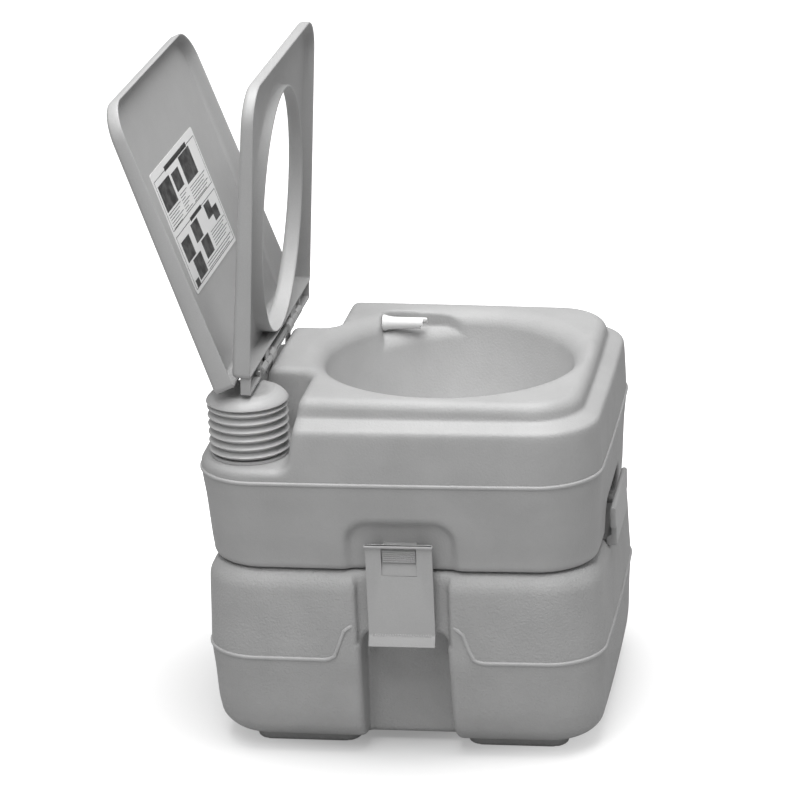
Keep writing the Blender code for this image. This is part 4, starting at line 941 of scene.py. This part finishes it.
def build_latch(side, word):
    inner, outer = PLATE_X
    pin_x, pin_z = LATCH_PIN
    own_body = "latch_" + word

    def prism(name, section, low, high, body=own_body, replaces=(), bevel=0.5, segments=3):
        """Prism along Y of an (x, z) section, on the latch's own side; low and high are from its middle."""
        outline = [(side * a, b) for a, b in section]
        return extruded(f"latch_{word}_{name}", outline, "Y", LATCH_Y + low, LATCH_Y + high,
                        LATCH_PLASTIC, body, replaces, bevel, segments)

    section = rounded_outline(
        [(inner, PLATE_BEND_Z), (inner, PLATE_TOP), (outer + 1.2, PLATE_TOP), (outer, PLATE_TOP - 4.6),
         (outer, PLATE_BEND_Z), (outer + 6.5, PLATE_LOW), (outer + 3.5, PLATE_LOW)],
        [3.0, 0, 0.5, 3.0, 3.0, 0.6, 0.6], 3)
    plate = prism("plate", section, -PLATE_HALF, PLATE_HALF, replaces=(f"latch_plate_{word}",), bevel=0)
    x0, x1 = sorted((side * 160, side * 200))
    cut_box(plate, (x0, LATCH_Y - WINDOW_HALF, WINDOW_Z[0]), (x1, LATCH_Y + WINDOW_HALF, WINDOW_Z[1]))
    add_bevel(plate, 0.45, 2)

    low, high = PLATE_TOP - 2.2, PLATE_TOP
    lip = [(inner + 0.4, low), (outer + 2.6, low), (outer + 2.6, high), (inner + 0.4, high)]
    prism("lip", lip, -PLATE_HALF - 1, PLATE_HALF + 1)

    def tooth_end(y, x, depth, half, rise):
        corners = ((0, -half, rise), (0, half, rise), (depth, half, -rise), (depth, -half, -rise))
        return np.array([(side * (x + out), y + along, PLATE_BEND_Z + up) for out, along, up in corners])

    teeth = []
    for number in range(TEETH):
        y = LATCH_Y + (number - (TEETH - 1) / 2) * TOOTH_PITCH
        teeth.append([tooth_end(y, outer - 0.3, 0.6, 0.8, 1.6), tooth_end(y, outer + 0.5, 0.5, 0.5, 0.9)])
    merged(f"latch_{word}_teeth", teeth, LATCH_PLASTIC, own_body)

    # sloped sill that closes the lower part of the window
    sill_low, sill_back = WINDOW_Z[0] + 0.3, inner - 1.6
    sill = [(sill_back, sill_low), (outer - 0.3, sill_low), (inner - 0.4, SILL_TOP), (sill_back, SILL_TOP)]
    prism("sill", sill, -WINDOW_HALF + 0.1, WINDOW_HALF - 0.1, bevel=0.3)

    turns = np.radians(np.arange(0, 360, 20))
    barrel_x, barrel_z = pin_x + 0.4, pin_z - 2.2
    barrel = [(barrel_x + KNUCKLE_R * math.cos(a), barrel_z + KNUCKLE_R * math.sin(a)) for a in turns]
    for number, end in enumerate((-1, 1), 1):
        prism(f"knuckle_{number}", barrel, *sorted(end * reach for reach in KNUCKLE_SPAN), bevel=0.4)

    # ribbed piece behind the window, fixed to the upper tank
    root = RIB_X - 0.8
    ribs = [(HOOD_FLOOR, 214.0), (inner - 2.2, 214.0), (inner - 2.2, 219.6), (root, 219.6)]
    for rib in range(6):
        low = RIB_LOW + rib * RIB_PITCH
        ribs += [(root, low), (RIB_X, low + 0.3), (RIB_X, low + 1.2), (root, low + 1.5)]
    ribs += [(root, 233.0), (pin_x + 3.4, 233.6), (pin_x + 3.4, 235.2), (pin_x + 1.5, 236.4),
             (HOOD_FLOOR, 236.4)]
    prism("bracket", ribs, -17, 17, "upper_tank", (f"latch_bracket_{word}",), bevel=0.25, segments=2)


# ---- handle, spout, caps

CAP_RIBS = 30
CAP_RIB_DEPTH = 0.9
VENT_AT = (24.0, 163.0)


def build_handle():
    profile = rounded_outline(
        [(-210.6, 190.6), (-199.3, 190.6), (-199.3, 199.4), (-204.6, 203), (-204.6, 235), (-210.6, 235)],
        [2.5, 0, 0, 1.8, 2.6, 2.6], 4)
    handle = extruded("handle_plate", profile, "X", -60, 60, LATCH_PLASTIC, "valve_blade",
                      ("valve_handle",), bevel=0)
    for side in (-1, 1):
        x0, x1 = sorted((side * 53, side * 90))
        cut_box(handle, (x0, -230, 180), (x1, -180, 213))
    add_bevel(handle, 0.8)


def tube_path(points, corner_r):
    """Polyline with one rounded corner in the middle."""
    steps = 16
    start, corner, end = [np.array(p, float) for p in points]
    u, v = (start - corner) / np.linalg.norm(start - corner), (end - corner) / np.linalg.norm(end - corner)
    half = math.acos(float(u @ v)) / 2
    centre = corner + (u + v) / np.linalg.norm(u + v) * corner_r / math.sin(half)
    reach = corner_r / math.tan(half)
    first, last = corner + u * reach - centre, corner + v * reach - centre
    turn = math.pi - 2 * half
    path = [start]
    for k in range(steps + 1):
        a, b = math.sin(turn * (1 - k / steps)) / math.sin(turn), math.sin(turn * k / steps) / math.sin(turn)
        path.append(centre + a * first + b * last)
    path.append(end)
    return np.array(path)


def build_spout():
    """Hollow elbow: the outer skin runs up the path and the bore runs back down it."""
    axis_x, axis_y, arm_z = -66.0, 163.0, 156.0
    pipe_r, bore_r = 18.0, 15.0
    path = tube_path([(axis_x, axis_y, 96), (axis_x, axis_y, arm_z), (50, axis_y, arm_z)], 24)
    tangent = np.gradient(path, axis=0)
    tangent[0], tangent[-1] = path[1] - path[0], path[-1] - path[-2]
    tangent = unit(tangent)
    across = np.array([0.0, 1.0, 0.0])
    turns = full_turn(64)

    def ring(i, radius, shift=0.0):
        up = np.cross(tangent[i], across)
        around = np.cos(turns)[:, None] * across + np.sin(turns)[:, None] * up
        return path[i] + tangent[i] * shift + around * radius

    count = len(path)
    rings = [ring(0, pipe_r - 1.0), ring(0, pipe_r, 1.0)] + [ring(i, pipe_r) for i in range(1, count - 1)]
    rings += [ring(count - 1, pipe_r, -1.0), ring(count - 1, pipe_r - 0.8)]
    rings += [ring(i, bore_r) for i in range(count - 1, -1, -1)]
    lofted("spout_elbow", rings, SEAT_PLASTIC, "pour_spout", ("pour_spout",), close_rings=True)
    collar = [(28.6, 9), (29.6, 8.6), (30, 7.6), (30, 0), (18.6, 0), (18.6, 8.4), (19.2, 9)]
    turned("spout_ring", collar, (axis_x, axis_y, BAY_FLOOR + 0.3), SEAT_PLASTIC, "lower_tank",
           ("spout_collar",))
    cap = [(1, 25), (20.5, 25), (22.6, 24.2), (23.6, 22), (23.9, 0.6), (23.3, 0), (19.2, 0), (19.2, 18),
           (1, 18)]
    ribbed_cap("spout_cap_shell", cap, (36, axis_y, arm_z), "X", "spout_cap", ("spout_cap",),
               (3.0, 21.0), 23.6)


def ribbed_cap(name, profile, centre, axis, body, replaces, span, skirt_r):
    """Screw cap with grip ribs round its skirt. The ribs are part of the turned skin."""
    turns = full_turn(CAP_RIBS * 8)
    wave = CAP_RIB_DEPTH / 2 * (np.cos(turns * CAP_RIBS) - 1)
    rings = []
    for radius, height in profile:
        ribbed = skirt_r - 1.2 <= radius <= skirt_r + 0.6 and span[0] - 3 <= height <= span[1] + 1.5
        rings.append(turned_ring(radius + wave if ribbed else radius, height, turns, axis, centre))
    sharpen(lofted(name, rings, CAP_PLASTIC, body, replaces, close_rings=True))


def build_filler():
    cap = [(0.5, 20.6), (30, 20.2), (32.6, 19.4), (34, 17.5), (35.2, 3), (35.4, 1.6), (34.8, 1.2), (29, 1.2),
           (29, -10), (26, -10), (26, 16), (0.5, 16)]
    ribbed_cap("filler_cap_shell", cap, (*FILLER_AT, LEDGE_Z + 2.2), "Z", "fill_cap", ("fill_cap",),
               (3.0, 17.5), 34.9)
    x, y = FILLER_AT
    outline = rounded_outline([(x - 27, y - 4), (x + 27, y - 4), (x + 27, y + 4), (x - 27, y + 4)], 3.9, 6)
    extruded("filler_cap_grip", outline, "Z", LEDGE_Z + 21, LEDGE_Z + 31, CAP_PLASTIC, "fill_cap", bevel=1.6)


def build_vent():
    x, y = VENT_AT
    button = [(0.5, 14), (8, 13.8), (9.8, 13), (10.8, 11.6), (11, 9), (10.6, 8.2), (4, 8), (4, -9), (0.5, -9)]
    turned("vent_push", button, (x, y, BAY_FLOOR), SEAT_PLASTIC, "vent_button", ("vent_button",), sides=48)
    coils, coil_r, wire_r = 4, 6.3, 0.7
    turns = np.linspace(0, 2 * math.pi * coils, coils * 24)
    rise = np.linspace(1.2, 6.7, len(turns))
    path = np.stack([x + coil_r * np.cos(turns), y + coil_r * np.sin(turns), BAY_FLOOR + rise], 1)
    around = full_turn(8)
    rings = []
    up = np.array([0.0, 0.0, 1.0])
    for point, angle in zip(path, turns):
        out = np.array([math.cos(angle), math.sin(angle), 0.0])
        rings.append(point + wire_r * (np.cos(around)[:, None] * out + np.sin(around)[:, None] * up))
    spring = lofted("vent_coil", rings, STEEL, "lower_tank", ("vent_spring",))
    tuple(to_world([(x, y, 104.4)])[0])
    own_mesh(spring)


# ---- hinge


def build_hinge():
    """Two brackets on the hinge block's rear wall, and the rod through their eyes."""
    low, high, thick, eye = 350, 383, 3, 5.2
    outline = rounded_outline(
        [(block_rear(low) + 0.3, low), (block_rear(low) + thick, low), (block_rear(high) + thick, high),
         (HINGE_Y + eye, HINGE_Z - 3), (HINGE_Y + eye, HINGE_Z + eye), (HINGE_Y - eye, HINGE_Z + eye),
         (HINGE_Y - eye, HINGE_Z - 4.5), (block_rear(high) + 0.3, high + 4.5)],
        [0, 1, 0, 3, 4.5, 4.5, 2, 0], 6)
    for side, word in SIDES:
        x0, x1 = side * BRACKET_X - 10, side * BRACKET_X + 10
        extruded(f"hinge_{word}", outline, "X", x0, x1, SEAT_PLASTIC, "upper_tank",
                 (f"hinge_bracket_{word}",), bevel=0.6)
    rod = [(0.3, -110), (2.4, -110), (3, -109.4), (3, 109.4), (2.4, 110), (0.3, 110)]
    turned("hinge_pin", rod, (0, HINGE_Y, HINGE_Z), STEEL, "upper_tank", ("hinge_rod",), axis="X",
           sides=32, close=False)


# ---- carried-over CAD nodes

CARRIED = {
    SEAT_PLASTIC: ("valve_frame", "valve_blade", "latch_catch_left", "latch_catch_right"),
    RUBBER: ("valve_seal", "spout_seal", "vent_washer", "nozzle_grommet", "fill_seal"),
    WHITE_PLASTIC: ("pump_valve",),
    HOSE_PLASTIC: ("pump_tube", "flush_hose"),
    STEEL: ("latch_pin_left", "latch_pin_right", "hinge_screw_left", "hinge_screw_right",
            "frame_screw_1", "frame_screw_2", "frame_screw_3", "frame_screw_4")}


def dress_cad_nodes():
    for material, nodes in CARRIED.items():
        for node in nodes:
            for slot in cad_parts[node].material_slots:
                slot.material = material


# ---- floor, lights, camera

WHITE = (1.0, 1.0, 1.0, 1.0)


def area_light(name, location, target, size, power):
    light = bpy.data.lights.new(name, "AREA")
    light.shape = "RECTANGLE"
    light.size, light.size_y = size
    light.energy = power
    lamp = add_object(name, light)
    lamp.location = location
    lamp.rotation_euler = (Vector(target) - Vector(location)).to_track_quat("-Z", "Y").to_euler()


def build_stage():
    mesh = bpy.data.meshes.new("floor")
    reach = 6.0
    corners = [(-reach, -reach, 0), (reach, -reach, 0), (reach, reach, 0), (-reach, reach, 0)]
    mesh.from_pydata(corners, [], [(0, 1, 2, 3)])
    material, nodes, links, shader = node_material("floor_white")
    set_inputs(shader, Base_Color=(0.5, 0.5, 0.5, 1.0), Roughness=0.9, Emission_Color=WHITE)
    # the backdrop burns out to white away from the object, for the camera only
    where = nodes.new("ShaderNodeNewGeometry")
    distance = nodes.new("ShaderNodeVectorMath")
    distance.operation = "LENGTH"
    fade = nodes.new("ShaderNodeMapRange")
    set_inputs(fade, From_Min=0.12, From_Max=0.5, To_Min=0.25, To_Max=1.1)
    seen = nodes.new("ShaderNodeLightPath")
    burn = nodes.new("ShaderNodeMath")
    burn.operation = "MULTIPLY"
    links.new(where.outputs["Position"], distance.inputs[0])
    links.new(distance.outputs["Value"], fade.inputs["Value"])
    links.new(fade.outputs["Result"], burn.inputs[0])
    links.new(seen.outputs["Is Camera Ray"], burn.inputs[1])
    links.new(burn.outputs["Value"], shader.inputs["Emission Strength"])
    mesh.materials.append(material)
    floor = add_object("floor", mesh)
    floor.location.z = -0.0005

    world = bpy.data.worlds.new("studio")
    world.use_nodes = True
    set_inputs(world.node_tree.nodes["Background"], Color=WHITE, Strength=0.36)
    bpy.context.scene.world = world
    area_light("overhead", (-0.25, -0.1, 2.6), (0, 0, 0.3), (1.8, 1.8), 62)
    area_light("side_key", (-1.7, 0.1, 2.3), (0, 0, 0.25), (0.9, 0.9), 17)
    bpy.context.scene.view_settings.view_transform = "Standard"


CAMERA_AT = (-3.380, -0.582, 1.536)
CAMERA_TARGET = (0.0, 0.02435, 0.33375)
CAMERA_LENS = 158.8
CAMERA_ROLL = math.radians(-2.66)


def build_camera():
    data = bpy.data.cameras.new("camera")
    data.lens = CAMERA_LENS
    data.sensor_width = 36.0
    data.clip_start, data.clip_end = 0.1, 50.0
    camera = add_object("camera", data)
    place = Vector(CAMERA_AT) + Vector((0, TANK_Y, 0))
    forward = (Vector(CAMERA_TARGET) + Vector((0, TANK_Y, 0)) - place).normalized()
    right = forward.cross(Vector((0, 0, 1))).normalized()
    up = right.cross(forward)
    turned_right = right * math.cos(CAMERA_ROLL) + up * math.sin(CAMERA_ROLL)
    turned_up = up * math.cos(CAMERA_ROLL) - right * math.sin(CAMERA_ROLL)
    axes = Matrix((turned_right, turned_up, -forward)).transposed().to_4x4()
    camera.matrix_world = Matrix.Translation(place) @ axes
    bpy.context.scene.camera = camera


build_camera()
build_stage()
build_tank("lower_tank", lower_tank, (-187, -213, -5), (187, 213, 209), LOWER_PLASTIC)
build_tank("upper_tank", upper_tank, (-189, -213, 199), (189, 214, 393), UPPER_PLASTIC)
build_seams()
build_seat()
build_lid()
build_label()
build_pump()
build_nozzle()
for side, word in SIDES:
    build_latch(side, word)
build_handle()
build_spout()
build_filler()
build_vent()
build_hinge()
dress_cad_nodes()
